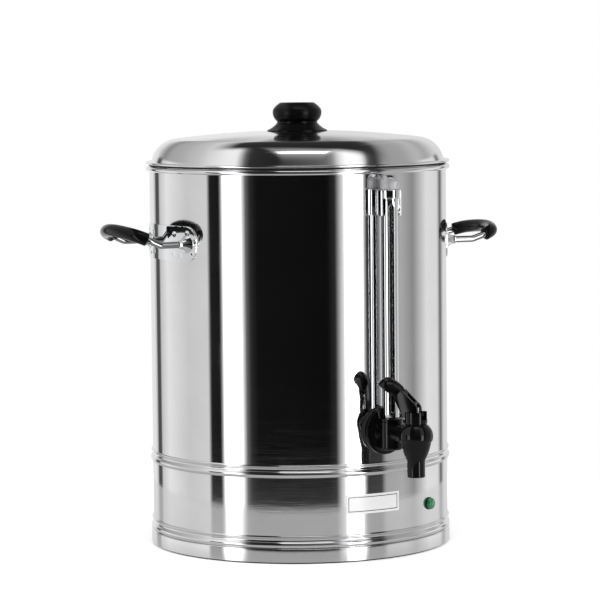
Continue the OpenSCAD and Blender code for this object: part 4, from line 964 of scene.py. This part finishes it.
class URN_OT_gauge(bpy.types.Operator):
    """Makes the sight gauge: slotted guard tube, glass, domed cap with its collar, and clip"""
    bl_idname = "urn.gauge"
    bl_label = "Sight gauge"

    def execute(self, context):
        s = context.scene.urn_sizes
        place = facing(FRONT, s.gauge_out)
        self.guard(s, place)
        self.glass(s, place)
        self.cap(s, place)
        self.clip(s, place)
        return {"FINISHED"}

    def guard(self, s, place):
        """A sheet rolled to a tube, with a slot whose ends are round."""
        half = s.slot_width / 2
        across = 96
        wide = round(asin(half / s.guard_radius) / (2 * pi / across)) * 2 * pi / across
        low, high = s.guard_low + s.slot_margin + half, s.guard_high - s.slot_margin - half
        levels = (s.guard_low, low, (low + high) / 2, high, s.guard_high)
        bm = bmesh.new()
        made = bmesh.ops.create_grid(bm, x_segments=across, y_segments=4, size=1)["verts"]
        for v in made:
            angle, row = v.co.x * pi, round((v.co.y + 1) * 2)
            z = levels[row]
            if row in (1, 3) and abs(angle) < wide + 1e-4:
                reach = half * sqrt(max(0.0, 1 - (angle / wide) ** 2))
                z += reach if row == 3 else -reach
            v.co = (s.guard_radius * cos(angle), s.guard_radius * sin(angle), z)
        bmesh.ops.remove_doubles(bm, verts=bm.verts[:], dist=1e-6)
        slot = []
        for face in bm.faces:
            spot = face.calc_center_median()
            if low < spot.z < high and abs(atan2(spot.y, spot.x)) < wide:
                slot.append(face)
        bmesh.ops.delete(bm, geom=slot, context="FACES")
        bmesh.ops.recalc_face_normals(bm, faces=bm.faces[:])
        bmesh.ops.solidify(bm, geom=bm.faces[:], thickness=s.guard_wall)
        soften(bm, 0.0003, 2, 50)
        move(bm, place @ Matrix.Rotation(s.slot_turn, 4, "Z"))
        piece("gauge_tube", bm, finishes().chrome, "urn", ["gauge_guard"], crease=50)

    def glass(self, s, place):
        low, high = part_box("gauge_glass")[0].z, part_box("gauge_glass")[1].z
        inner = s.glass_radius - s.glass_wall

        def section(bm):
            pen = Pen(bm, inner, low)
            pen.line(s.glass_radius, low).line(s.glass_radius, high).line(inner, high).line(inner, low)

        piece("sight_glass", turned(section, 48, place), finishes().glass, "urn", ["gauge_glass"])

    def cap(self, s, place):
        """A frosted dome on a bright collar."""
        groove, edge, crown = 0.0008, 0.0006, s.cap_top - 0.0001
        ledge = s.guard_high + s.collar_height

        def dome(bm):
            pen = Pen(bm, 0, s.cap_top)
            pen.line(s.cap_radius - s.cap_round, crown)
            pen.arc(s.cap_radius - s.cap_round, crown - s.cap_round, -90, 18)
            pen.line(s.cap_radius, ledge + groove).line(s.cap_radius - groove, ledge + groove * 0.7)
            pen.line(s.cap_radius - groove, ledge).line(0, ledge)

        def collar(bm):
            pen = Pen(bm, 0, ledge)
            pen.line(s.collar_radius - edge, ledge)
            pen.arc(s.collar_radius - edge, ledge - edge, -90, 5)
            pen.line(s.collar_radius, s.guard_high + edge)
            pen.arc(s.collar_radius - edge, s.guard_high + edge, -90, 5)
            pen.line(0, s.guard_high)

        piece("gauge_dome", turned(dome, 64, place), finishes().frosted, "urn", ["gauge_cap"])
        piece("gauge_collar", turned(collar, 64, place), finishes().chrome, "urn")

    def clip(self, s, place):
        """A spring clip round the cap's collar with a foot on the vessel."""
        inner = s.collar_radius + FIT
        open_half = radians(75)
        high = s.guard_high + s.collar_height
        low = high - s.clip_height
        near, far, foot_half = s.vessel_radius + FIT - s.gauge_out, -inner - 0.0003, 0.0035
        bm = bmesh.new()
        made = bmesh.ops.create_grid(bm, x_segments=48, y_segments=1, size=1)["verts"]
        for v in made:
            angle = pi + v.co.x * (pi - open_half)
            v.co = (inner * cos(angle), inner * sin(angle), low + (v.co.y + 1) / 2 * s.clip_height)
        back = bmesh.ops.extrude_face_region(bm, geom=bm.faces[:])["geom"]
        grow = (inner + s.clip_wall) / inner
        bmesh.ops.scale(bm, vec=(grow, grow, 1), verts=verts_of(back))
        soften(bm, 0.0004, 3, 50)
        join(bm, block((near, -foot_half, low), (far, foot_half, high), edge=0.0005))
        move(bm, place)
        piece("gauge_spring_clip", bm, finishes().chrome, "urn", ["gauge_clip"], crease=50)


# Tap

class URN_OT_tap(bpy.types.Operator):
    """Makes the tap: flanged shank with the gauge's socket, bell body, slotted bonnet, spring and lever"""
    bl_idname = "urn.tap"
    bl_label = "Tap"

    def execute(self, context):
        s = context.scene.urn_sizes
        self.shank(s)
        self.bell(s)
        self.bonnet(s)
        self.spring(s)
        self.lever(s)
        return {"FINISHED"}

    def shank(self, s):
        """A flanged shank through the vessel's wall, with the upright socket that holds the gauge."""
        face, edge = s.vessel_radius + 0.002, 0.0008
        thick, neck, slope = 0.004, 0.014, 0.003
        bore, bore_end, thread, tail = 0.005, 0.150, 0.008, 0.118
        inlet = s.tap_out - s.bell_radius - 0.003

        def section(bm):
            pen = Pen(bm, 0, bore_end)
            pen.line(bore, bore_end).line(bore, tail).line(thread, tail).line(thread, face)
            pen.line(s.shank_flange - edge, face)
            pen.arc(s.shank_flange - edge, face + edge, 90, 5)
            pen.line(s.shank_flange, face + thick - edge)
            pen.arc(s.shank_flange - edge, face + thick - edge, 90, 5)
            pen.line(neck, face + thick).line(s.shank_radius, face + thick + slope)
            pen.line(s.shank_radius, inlet).line(0, inlet)

        bm = turned(section, 72, facing(FRONT, 0, s.tap_height) @ ALONG_X)
        top, low, round_off = s.tap_height + 0.013, s.tap_height - 0.017, 0.0025
        groove = s.socket_radius - 0.0007

        def socket(part):
            pen = Pen(part, 0, low)
            pen.line(s.socket_radius - round_off, low)
            pen.arc(s.socket_radius - round_off, low + round_off, 90, 8)
            pen.line(s.socket_radius, top - 0.0034).line(groove, top - 0.003)
            pen.line(groove, top - 0.0024).line(s.socket_radius, top - 0.002)
            pen.line(s.socket_radius, top - edge)
            pen.arc(s.socket_radius - edge, top - edge, 90, 5)
            pen.line(0, top)

        join(bm, turned(socket, 72, facing(FRONT, s.gauge_out)))
        piece("shank", bm, finishes().black_gloss, "urn", ["tap_shank"])

    def bell(self, s):
        """A hollow bell with a seam round it, a spout below and a neck that takes the shank."""
        middle = s.bell_radius - s.bell_round
        brim = s.chamber_radius + 0.0004
        top = acos((brim - middle) / s.bell_round)
        high = s.tap_height + s.bell_round * sin(top)
        lip = degrees(asin((s.seam_drop - 0.0003) / s.bell_round))
        seam, cone = s.tap_height - s.seam_drop, s.tap_height - s.spout_drop + 0.016
        spout, seat, seat_radius = s.tap_height - s.spout_drop, s.tap_height - 0.017, 0.0065
        skirt, mouth, edge = s.bell_radius * 0.9, s.spout_radius + 0.0004, 0.0006

        def section(bm):
            pen = Pen(bm, s.chamber_radius, high)
            pen.line(brim, high).arc(middle, s.tap_height, -degrees(top) - lip, 28)
            pen.line(s.bell_radius - 0.0012, seam).line(skirt + 0.0003, seam).line(skirt, seam - 0.0004)
            for share in (0.25, 0.5, 0.75, 1.0):
                # The skirt of the bell swells a little on its way down to the spout
                r = (1 - share) * skirt + share * (mouth + 0.0002)
                pen.line(r + 0.0009 * sin(pi * share), seam + (cone - seam) * share)
            pen.line(mouth, cone - 0.001).line(mouth, spout + edge + 0.001).line(mouth, spout + edge)
            pen.arc(mouth - edge, spout + edge, -90, 5)
            pen.line(s.spout_bore + edge, spout)
            pen.line(s.spout_bore, spout + edge).line(s.spout_bore, seat).line(seat_radius, seat)
            pen.line(s.chamber_radius, seat + 0.004).line(s.chamber_radius, high)

        bm = turned(section, 96, facing(FRONT, s.tap_out))
        inlet, inner = s.tap_out - s.bell_radius - 0.003, s.tap_out - s.chamber_radius - 0.0004

        def neck(part):
            pen = Pen(part, 0, inlet)
            pen.line(s.inlet_radius - edge, inlet)
            pen.arc(s.inlet_radius - edge, inlet + edge, 90, 5)
            pen.line(s.inlet_radius, inner).line(0, inner)

        join(bm, turned(neck, 64, facing(FRONT, 0, s.tap_height) @ ALONG_X))
        piece("tap_bell", bm, finishes().black_gloss, "urn", ["tap_body"])

    def bonnet(self, s):
        """A plug in the bell's top with two posts that leave a slot for the lever."""
        low, edge = s.tap_height + s.bell_top, 0.0006
        bore, plug, bottom = 0.0031, s.chamber_radius - FIT, s.tap_height + s.bell_top - 0.006
        tall, middle = s.pin_height - s.bonnet_shelf, (s.pin_height + s.bonnet_shelf) / 2
        place = facing(FRONT, s.tap_out) @ Matrix.Rotation(pi + s.lever_turn, 4, "Z")

        def ring(part):
            pen = Pen(part, bore, bottom)
            pen.line(plug, bottom).line(plug, low).line(s.bonnet_radius - edge, low)
            pen.arc(s.bonnet_radius - edge, low + edge, 90, 5)
            pen.line(s.bonnet_radius, s.bonnet_shelf).line(bore, s.bonnet_shelf).line(bore, bottom)

        bm = turned(ring, 72)
        for side in (-1, 1):
            post = bmesh.new()
            bmesh.ops.create_cone(post, cap_ends=True, segments=72, radius1=s.bonnet_radius,
                                  radius2=s.bonnet_radius, depth=tall,
                                  matrix=Matrix.Translation((0, 0, middle)))
            geom = post.verts[:] + post.edges[:] + post.faces[:]
            bmesh.ops.bisect_plane(post, geom=geom, plane_co=(0, side * s.slot_half, 0),
                                   plane_no=(0, -side, 0), clear_outer=True)
            fill_holes(post)
            soften(post, edge, 3, 50)
            join(bm, post)
        move(bm, place)
        piece("bonnet", bm, finishes().black_gloss, "urn", ["tap_bonnet"], crease=45)

    def spring(self, s):
        """A coil of wire that the rising stem presses up against the bonnet."""
        low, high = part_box("tap_spring")
        tall, turns, steps = high.z - low.z, 6, 144
        coil = (high.x - low.x) / 2 - s.spring_wire
        bm = bmesh.new()
        bmesh.ops.create_circle(bm, segments=12, radius=s.spring_wire,
                                matrix=Matrix.Translation((coil, 0, low.z + s.spring_wire))
                                @ Matrix.Rotation(radians(90), 4, "X"))
        bmesh.ops.spin(bm, geom=bm.verts[:] + bm.edges[:], cent=(0, 0, 0), axis=(0, 0, 1),
                       angle=turns * 2 * pi, steps=steps, dvec=(0, 0, (tall - 2 * s.spring_wire) / steps))
        fill_holes(bm)
        move(bm, facing(FRONT, s.tap_out))
        obj = piece("return_spring", bm, finishes().chrome, "urn", ["tap_spring"])
        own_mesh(obj)

    def lever(self, s):
        """Two cheeks with round hubs that carry an arched paddle."""
        place = facing(FRONT, s.tap_out, s.pin_height) @ Matrix.Rotation(pi + s.lever_turn, 4, "Z")
        rise = Matrix.Rotation(-s.lever_rise, 4, "Y")
        throw, half_travel = 0.005, radians(17.5)
        hub = Vector((throw * cos(half_travel), 0, throw * sin(half_travel)))
        bm = bmesh.new()
        for side in (-1, 1):
            cheek = bmesh.new()
            for y in (s.cheek_inner, s.cheek_outer):
                face = Matrix.Translation((0, side * y, 0))
                round_hub = face @ Matrix.Translation(hub) @ Matrix.Rotation(radians(90), 4, "X")
                bmesh.ops.create_circle(cheek, segments=56, radius=s.hub_radius, matrix=round_hub)
                for reach, up in ((0.004, -0.0053), (0.004, 0.0060), (0.023, -0.0045), (0.023, 0.0066)):
                    bmesh.ops.create_vert(cheek, co=face @ rise @ Vector((reach, 0, up)))
            bmesh.ops.convex_hull(cheek, input=cheek.verts[:])
            bmesh.ops.dissolve_limit(cheek, angle_limit=radians(1), verts=cheek.verts[:],
                                     edges=cheek.edges[:])
            soften(cheek, 0.0005, 3, 50)
            join(bm, cheek)
        # A bar over the pin joins the cheeks
        wide = s.cheek_inner + 0.001
        join(bm, block((-0.001, -wide, 0.0052), (0.006, wide, 0.0092), edge=0.0008))
        join(bm, self.paddle(s, rise))
        move(bm, place)
        piece("lever_paddle", bm, finishes().black_gloss, "lever", ["tap_lever"], crease=45)

    def paddle(self, s, rise):
        """A spoon with a crowned back and a thin round rim, carried round its section from root to tip."""
        arch, middle, lift = 0.038, 0.025, 0.0082
        low_arch, low_middle, low_lift = 0.0915, 0.022, -0.0036
        root, waist, tip = 0.017, 0.020, s.lever_length - s.paddle_radius
        straight = 0.4
        bm = bmesh.new()
        made = bmesh.ops.create_grid(bm, x_segments=48, y_segments=64, size=1)["verts"]
        for v in made:
            share, turn = (v.co.x + 1) / 2, v.co.y * pi
            if share < straight:
                reach = root + (tip - root) * share / straight
                flare = max(0.0, (reach - waist) / (tip - waist))
                half = s.cheek_outer + (s.paddle_radius - s.cheek_outer) * flare * flare * (3 - 2 * flare)
                end = 1.0
            else:
                swing = (share - straight) / (1 - straight) * pi / 2
                reach = tip + s.paddle_radius * sin(swing)
                half = s.paddle_radius * cos(swing)
                end = min(1.0, sqrt(max(0.0, half / (3 * s.paddle_rim))))
            low = low_lift - low_arch + sqrt(low_arch ** 2 - (reach - low_middle) ** 2)
            top = lift - arch + sqrt(arch ** 2 - (reach - middle) ** 2)
            crown = (top - low - 2 * s.paddle_rim) * min(1.0, half / s.paddle_radius + 0.3) * end
            up = abs(sin(turn))
            rim = s.paddle_rim * end * up ** 0.4
            z = low + s.paddle_rim + (rim + crown * up ** 1.5 if turn > 0 else -rim)
            v.co = (reach, half * cos(turn), z)
        bmesh.ops.remove_doubles(bm, verts=bm.verts[:], dist=1e-6)
        fill_holes(bm)
        move(bm, rise)
        return bm


# Lamp and back

class URN_OT_lamp(bpy.types.Operator):
    """Turns the pilot lamp's bezel and lens"""
    bl_idname = "urn.lamp"
    bl_label = "Pilot lamp"

    def execute(self, context):
        s = context.scene.urn_sizes
        place = facing(s.lamp_angle, s.vessel_radius, s.lamp_height) @ ALONG_X
        bezel, lens_low, lens_top, dome = s.lens_radius + 0.0005, 0.0012, 0.0052, 0.003
        crown, edge, sunk = lens_top - 0.0001, 0.0004, -0.0001
        stub, stub_end = 0.00445, -0.016

        def lens(bm):
            pen = Pen(bm, 0, lens_top)
            pen.line(s.lens_radius - dome, crown)
            pen.arc(s.lens_radius - dome, crown - dome, -90, 14)
            pen.line(s.lens_radius, lens_low).line(0, lens_low)

        piece("lamp_dome", turned(lens, 48, place), finishes().lens, "urn", ["lamp_lens"])

        def body(bm):
            pen = Pen(bm, 0, lens_low)
            pen.line(bezel - edge, lens_low)
            pen.arc(bezel - edge, lens_low - edge, -90, 4)
            pen.line(bezel, sunk).line(stub, sunk).line(stub, stub_end).line(0, stub_end)

        piece("lamp_bezel", turned(body, 48, place), finishes().black_matt, "urn", ["lamp_body"])
        return {"FINISHED"}


def recessed_plate(place, face, half, pocket, depth, thick, corner, edge):
    """A plate that looks out along X at its face, with rounded corners and a pocket in it."""
    bm = bmesh.new()
    made = bmesh.ops.create_grid(bm, x_segments=3, y_segments=3, size=1)["verts"]
    for v in made:
        spot = [(pocket if abs(share) < 0.9 else half)[i] * (1 if share > 0 else -1)
                for i, share in enumerate((v.co.x, v.co.y))]
        v.co = (face, *spot)
    middle = min(bm.faces, key=lambda f: (f.calc_center_median() - Vector((face, 0, 0))).length)
    sides = bmesh.ops.extrude_edge_only(bm, edges=[e for e in bm.edges if e.is_boundary])["geom"]
    bmesh.ops.translate(bm, verts=verts_of(sides), vec=(-thick, 0, 0))
    deep = bmesh.ops.extrude_face_region(bm, geom=[middle])["geom"]
    bmesh.ops.translate(bm, verts=verts_of(deep), vec=(-depth, 0, 0))
    if middle.is_valid:
        bmesh.ops.delete(bm, geom=[middle], context="FACES")
    bmesh.ops.recalc_face_normals(bm, faces=bm.faces[:])
    upright = [e for e in bm.edges if len(e.link_faces) == 2 and e.calc_face_angle(0) > 1
               and abs((e.verts[0].co - e.verts[1].co).normalized().x) > 0.9
               and abs(e.verts[0].co.y) > pocket[0] + 1e-5]
    bmesh.ops.bevel(bm, geom=upright, offset=corner, offset_type="OFFSET", segments=5, profile=0.5,
                    affect="EDGES", clamp_overlap=True, material=-1)
    soften(bm, edge, 3, 45)
    fill_holes(bm)
    move(bm, place)
    return bm


class URN_OT_back(bpy.types.Operator):
    """Makes the power inlet with its screws, and the rocker switch"""
    bl_idname = "urn.back"
    bl_label = "Inlet and switch"

    def execute(self, context):
        s = context.scene.urn_sizes
        self.inlet(s, facing(BACK, 0, s.back_height))
        self.switch(facing(s.switch_angle, 0, s.back_height))
        return {"FINISHED"}

    def inlet(self, s, place):
        """A deep socket in a plate that two screws hold."""
        face = 0.1495
        radius, dome, recess, cross = 0.0028, 0.0012, 0.0006, 0.0009
        bm = recessed_plate(place, face, half=(0.025, 0.01325), pocket=(0.012, 0.00825), depth=0.020,
                            thick=0.0035, corner=0.003, edge=0.0006)
        piece("inlet_frame", bm, finishes().black_matt, "urn", ["power_inlet"], crease=45)

        def head(bm):
            pen = Pen(bm, 0, recess)
            pen.line(cross, recess).line(cross + 0.0002, recess + 0.0009).line(radius - dome, recess + dome)
            pen.arc(radius - dome, recess, -90, 8)
            pen.line(radius, 0).line(0, 0)

        screws = bmesh.new()
        low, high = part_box("inlet_screws")
        for x in (low.x + radius, high.x - radius):
            join(screws, turned(head, 32, Matrix.Translation((x, face, s.back_height))
                                @ Matrix.Rotation(radians(-90), 4, "X")))
        piece("inlet_screw_heads", screws, finishes().chrome, "urn", ["inlet_screws"])

    def switch(self, place):
        """A frame with a rocker whose upper half is pressed in at rest."""
        bm = recessed_plate(place, face=0.148, half=(0.008, 0.0115), pocket=(0.00525, 0.00875), depth=0.006,
                            thick=0.002, corner=0.0015, edge=0.0004)
        piece("switch_frame", bm, finishes().black_matt, "urn", ["switch_housing"],
              crease=45)

        pivot, rest_tilt, half_width = 0.1465, radians(-10), 0.00505
        outline = ((0.003, 0), (0.0042, 0.00727), (-0.0018, 0.00547), (-0.0018, -0.00547), (0.0042, -0.00727))
        rocker = bmesh.new()
        verts = [bmesh.ops.create_vert(rocker, co=(x, -half_width, z))["vert"][0] for x, z in outline]
        face = bmesh.ops.contextual_create(rocker, geom=verts)["faces"]
        far = bmesh.ops.extrude_face_region(rocker, geom=face)["geom"]
        bmesh.ops.translate(rocker, verts=verts_of(far), vec=(0, 2 * half_width, 0))
        bmesh.ops.recalc_face_normals(rocker, faces=rocker.faces[:])
        soften(rocker, 0.0004, 3, 10)
        move(rocker, place @ Matrix.Translation((pivot, 0, 0)) @ Matrix.Rotation(rest_tilt, 4, "Y"))
        piece("rocker_button", rocker, finishes().black, "rocker", ["switch_rocker"],
              crease=45)


class URN_OT_carried(bpy.types.Operator):
    """Gives each CAD solid that stays its finish"""
    bl_idname = "urn.carried"
    bl_label = "Inner parts"

    def execute(self, context):
        made = finishes()
        wear = {
            made.satin_steel: ("bottom_plate", "pump_tube", "pump_foot", "basket", "basket_cover",
                               "heater_clamp", "knob_washer"),
            made.chrome: ("bottom_screws", "shank_nut", "valve_stem", "lever_pin", "knob_screw", "heater_nut",
                          "inlet_pins"),
            made.rubber: ("foot_ring", "gauge_seals", "shank_gaskets", "seat_cup"),
            made.aluminium: ("heater_plate", "thermal_cutout"),
            made.sheath: ("heater_element",),
            made.ceramic: ("terminal_block", "lamp_nut"),
            made.black_matt: ("thermostat",),
        }
        for finish, names in wear.items():
            for name in names:
                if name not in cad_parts:
                    raise RuntimeError("there is no solid named " + name)
                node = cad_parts[name]
                if not node.material_slots:
                    node.data.materials.append(finish)
                for slot in node.material_slots:
                    slot.material = finish
        return {"FINISHED"}


# Stage

# Brightness of the studio as the gloss sees it, by an angle in degrees: the screens by their turn from the
# camera, the walls above them, and by its height the white behind the urn that fades into a dark ceiling
SCREENS = ((-152, 0.85), (-146.5, 0.54), (-144.5, 0.085), (-137.5, 0.085), (-135, 0.62), (-122, 0.9),
           (-95, 0.66), (-74.2, 0.72), (-72.4, 0.015), (-62.5, 0.009), (-60.3, 1.0), (-58.5, 3.0),
           (-47.5, 3.0), (-44.1, 1.1), (-41.1, 0.16), (-37.5, 0.026), (-32, 0.0056), (22, 0.0036),
           (28.5, 0.026), (35.5, 1.0), (37.4, 5.0), (48.5, 5.0), (50.5, 1.0), (53, 0.03), (66, 0.04),
           (70, 0.40), (86, 0.46), (99, 0.29), (117, 0.84), (136, 0.80), (143, 0.10), (152, 0.76))
WALLS = ((-180, 1.0), (-150, 0.75), (-133, 0.27), (-122, 0.42), (-105, 0.48), (-84, 0.63), (-72, 0.82),
         (-60, 0.98), (-49, 1.0), (-46, 0.60), (-42, 0.12), (-38, 0.026), (-15, 0.015), (-10.5, 0.055),
         (0, 0.075), (15, 0.11), (23, 0.16), (28, 0.32), (32.5, 0.85), (38, 1.2), (50, 1.2), (53, 0.9),
         (56, 0.07), (64, 0.024), (68, 0.22), (71, 0.36), (94, 0.42), (109, 0.55), (123, 0.43), (140, 0.69),
         (180, 1.0))
REAR = ((0, 1.05), (1.5, 0.95), (5, 0.87), (8.5, 0.81), (12, 0.60), (15.4, 0.22), (22, 0.07), (42, 0.03),
        (90, 0.012))


class URN_OT_stage(bpy.types.Operator):
    """Sets the floor, the studio round the urn, its lights and the camera"""
    bl_idname = "urn.stage"
    bl_label = "Stage"

    floor_radius, floor_glow, mirrored_glow = 0.476, 0.34, 0.36
    fill_level, box_level, table_level = 0.74, 1.8, 0.065
    camera_place = (-1.524, -2.374, 0.4804)
    camera_turn, camera_dip, camera_roll = radians(-122.7), radians(4.906), radians(-0.527)

    def execute(self, context):
        scene = context.scene
        scene.view_settings.view_transform = "Standard"
        self.floor(scene)
        self.studio(scene)
        self.lights(scene)
        self.camera(scene)
        return {"FINISHED"}

    def floor(self, scene):
        """A round floor of white paper, which the urn's gloss sees as a smooth bright one."""
        bm = bmesh.new()
        bmesh.ops.create_circle(bm, cap_ends=True, segments=128, radius=self.floor_radius)
        mesh = bpy.data.meshes.new("floor")
        bm.to_mesh(mesh)
        bm.free()
        obj = bpy.data.objects.new("floor", mesh)
        scene.collection.objects.link(obj)
        finish = bpy.data.materials.new("Floor")
        finish.use_nodes = True
        mesh.materials.append(finish)
        tree = finish.node_tree
        tree.nodes.clear()
        out = tree.nodes.new("ShaderNodeOutputMaterial")
        path = tree.nodes.new("ShaderNodeLightPath")
        paper = tree.nodes.new("ShaderNodeBsdfDiffuse")
        paper.inputs["Color"].default_value = (*scene.urn_finish.floor, 1)
        glow = tree.nodes.new("ShaderNodeEmission")
        glow.inputs["Strength"].default_value = self.floor_glow
        seen = tree.nodes.new("ShaderNodeAddShader")
        tree.links.new(paper.outputs[0], seen.inputs[0])
        tree.links.new(glow.outputs[0], seen.inputs[1])
        mirrored = tree.nodes.new("ShaderNodeBsdfPrincipled")
        mirrored.inputs["Base Color"].default_value = (*shade(scene.urn_finish.floor, 0.1), 1)
        mirrored.inputs["Roughness"].default_value = 0.06
        mirrored.inputs["Emission Color"].default_value = (1, 1, 1, 1)
        mirrored.inputs["Emission Strength"].default_value = self.mirrored_glow
        mix = tree.nodes.new("ShaderNodeMixShader")
        tree.links.new(path.outputs["Is Glossy Ray"], mix.inputs[0])
        tree.links.new(seen.outputs[0], mix.inputs[1])
        tree.links.new(mirrored.outputs[0], mix.inputs[2])
        tree.links.new(mix.outputs[0], out.inputs["Surface"])

    def studio(self, scene):
        """White behind the urn, and for its gloss the screens, flags and ceiling of the studio round it."""
        world = bpy.data.worlds.new("Studio")
        scene.world = world
        world.use_nodes = True
        tree = world.node_tree
        tree.nodes.clear()
        out = tree.nodes.new("ShaderNodeOutputWorld")
        place = tree.nodes.new("ShaderNodeTexCoord")
        turn = tree.nodes.new("ShaderNodeVectorRotate")
        turn.rotation_type = "Z_AXIS"
        turn.inputs["Angle"].default_value = -self.camera_turn
        tree.links.new(place.outputs["Generated"], turn.inputs["Vector"])
        part = tree.nodes.new("ShaderNodeSeparateXYZ")
        tree.links.new(turn.outputs[0], part.inputs[0])
        x, y, z = part.outputs
        height = math_node(tree, "ARCSINE", z)
        screens = self.ramp(tree, math_node(tree, "ARCTAN2", y, x), SCREENS)
        # Below the screens the table runs on, dimly lit
        table = spread_node(tree, height, self.table_level, 0.0, radians(-9.1), radians(-8.62))
        screens = math_node(tree, "ADD", screens, table)
        # Higher up the walls bend in, so there they run by the turn of the half way direction
        bend = math_node(tree, "MULTIPLY", math_node(tree, "ARCTAN2", y, math_node(tree, "ADD", x, 1.0)), 2.0)
        walls = self.ramp(tree, bend, WALLS)
        rear = self.ramp(tree, height, REAR)
        # One soft box hangs overhead, a little towards the camera, and glows on the wall below it
        up = math_node(tree, "MAXIMUM", z, 0.05)
        along = math_node(tree, "COMPARE", math_node(tree, "DIVIDE", x, up), 0.27, 0.12)
        across = math_node(tree, "COMPARE", math_node(tree, "DIVIDE", y, up), 0.05, 0.24)
        box = math_node(tree, "MULTIPLY", along, across)
        off = math_node(tree, "ABSOLUTE", math_node(tree, "SUBTRACT", y, 0.05))
        glow = math_node(tree, "POWER", spread_node(tree, height, 0.0, 1.0, radians(26), radians(66)), 2.0)
        glow = math_node(tree, "MULTIPLY", glow, spread_node(tree, off, 0.3, 0.0, 0.22, 0.28))
        walls = math_node(tree, "ADD", walls, glow)
        back = spread_node(tree, math_node(tree, "MULTIPLY_ADD", y, -0.42, x), 1.0, 0.0, -0.26, 0.06)
        aside = spread_node(tree, math_node(tree, "ABSOLUTE", bend), 1.0, 0.0, radians(56), radians(78))
        back = math_node(tree, "MULTIPLY", back, aside)
        room = mix_node(tree, back, walls, rear)
        room = mix_node(tree, spread_node(tree, height, 0.0, 1.0, radians(9), radians(13)), screens, room)
        room = mix_node(tree, box, room, self.box_level)
        path = tree.nodes.new("ShaderNodeLightPath")
        white = tree.nodes.new("ShaderNodeBackground")
        studio = tree.nodes.new("ShaderNodeBackground")
        fill = tree.nodes.new("ShaderNodeBackground")
        fill.inputs["Color"].default_value = (1, 1, 1, 1)
        fill.inputs["Strength"].default_value = self.fill_level
        white.inputs["Color"].default_value = (1, 1, 1, 1)
        tree.links.new(room, studio.inputs["Color"])
        glossy = tree.nodes.new("ShaderNodeMixShader")
        tree.links.new(path.outputs["Is Glossy Ray"], glossy.inputs[0])
        tree.links.new(fill.outputs[0], glossy.inputs[1])
        tree.links.new(studio.outputs[0], glossy.inputs[2])
        clear = math_node(tree, "MAXIMUM", path.outputs["Is Camera Ray"], path.outputs["Is Transmission Ray"])
        seen = tree.nodes.new("ShaderNodeMixShader")
        tree.links.new(clear, seen.inputs[0])
        tree.links.new(glossy.outputs[0], seen.inputs[1])
        tree.links.new(white.outputs[0], seen.inputs[2])
        tree.links.new(seen.outputs[0], out.inputs["Surface"])

    def ramp(self, tree, angle, values):
        """A brightness that follows an angle, given by its stops in degrees."""
        node = tree.nodes.new("ShaderNodeValToRGB")
        tree.links.new(math_node(tree, "MULTIPLY_ADD", angle, 1 / (2 * pi), 0.5), node.inputs["Fac"])
        elements = node.color_ramp.elements
        for position, (spot, level) in enumerate(values):
            stop = elements[position] if position < 2 else elements.new(spot / 360 + 0.5)
            stop.position = spot / 360 + 0.5
            stop.color = (level, level, level, 1)
        return node.outputs["Color"]

    def lights(self, scene):
        """One broad lamp overhead that the gloss doesn't see."""
        data = bpy.data.lights.new("overhead", "AREA")
        data.shape = "RECTANGLE"
        data.size, data.size_y = 1.1, 0.6
        data.energy = 9
        lamp = bpy.data.objects.new("overhead", data)
        lamp.visible_glossy = False
        lamp.location = (-0.25, -0.35, 1.5)
        lamp.rotation_euler = (Vector((0, 0, 0.2)) - lamp.location).to_track_quat("-Z", "Y").to_euler()
        scene.collection.objects.link(lamp)

    def camera(self, scene):
        data = bpy.data.cameras.new("camera")
        data.lens = 171.63
        data.sensor_width = 36
        data.shift_x = 0.00195
        camera = bpy.data.objects.new("camera", data)
        heading = Vector((-cos(self.camera_turn), -sin(self.camera_turn), -tan(self.camera_dip)))
        level = heading.to_track_quat("-Z", "Y").to_matrix().to_4x4()
        camera.matrix_world = (Matrix.Translation(self.camera_place) @ level
                               @ Matrix.Rotation(self.camera_roll, 4, "Z"))
        scene.collection.objects.link(camera)
        scene.camera = camera


PIECES = (URN_OT_vessel, URN_OT_base, URN_OT_label, URN_OT_lid, URN_OT_handles, URN_OT_gauge, URN_OT_tap,
          URN_OT_lamp, URN_OT_back, URN_OT_carried, URN_OT_stage)


class URN_PT_panel(bpy.types.Panel):
    """Lists the urn's pieces in the order in which they are made"""
    bl_idname = "URN_PT_panel"
    bl_label = "Coffee urn"
    bl_space_type = "VIEW_3D"
    bl_region_type = "UI"
    bl_category = "Urn"

    def draw(self, context):
        for operator in PIECES:
            self.layout.operator(operator.bl_idname)
        for name in UrnFinish.__annotations__:
            self.layout.prop(context.scene.urn_finish, name)


CLASSES = (UrnSizes, UrnFinish, *PIECES, URN_PT_panel)


def register():
    for cls in CLASSES:
        bpy.utils.register_class(cls)
    bpy.types.Scene.urn_sizes = PointerProperty(type=UrnSizes)
    bpy.types.Scene.urn_finish = PointerProperty(type=UrnFinish)


def unregister():
    del bpy.types.Scene.urn_finish
    del bpy.types.Scene.urn_sizes
    for cls in reversed(CLASSES):
        bpy.utils.unregister_class(cls)


def main():
    register()
    bpy.ops.urn.vessel()
    bpy.ops.urn.base()
    bpy.ops.urn.label()
    bpy.ops.urn.lid()
    bpy.ops.urn.handles()
    bpy.ops.urn.gauge()
    bpy.ops.urn.tap()
    bpy.ops.urn.lamp()
    bpy.ops.urn.back()
    bpy.ops.urn.carried()
    bpy.ops.urn.stage()
    bpy.context.view_layer.update()


if __name__ == "__main__":
    main()
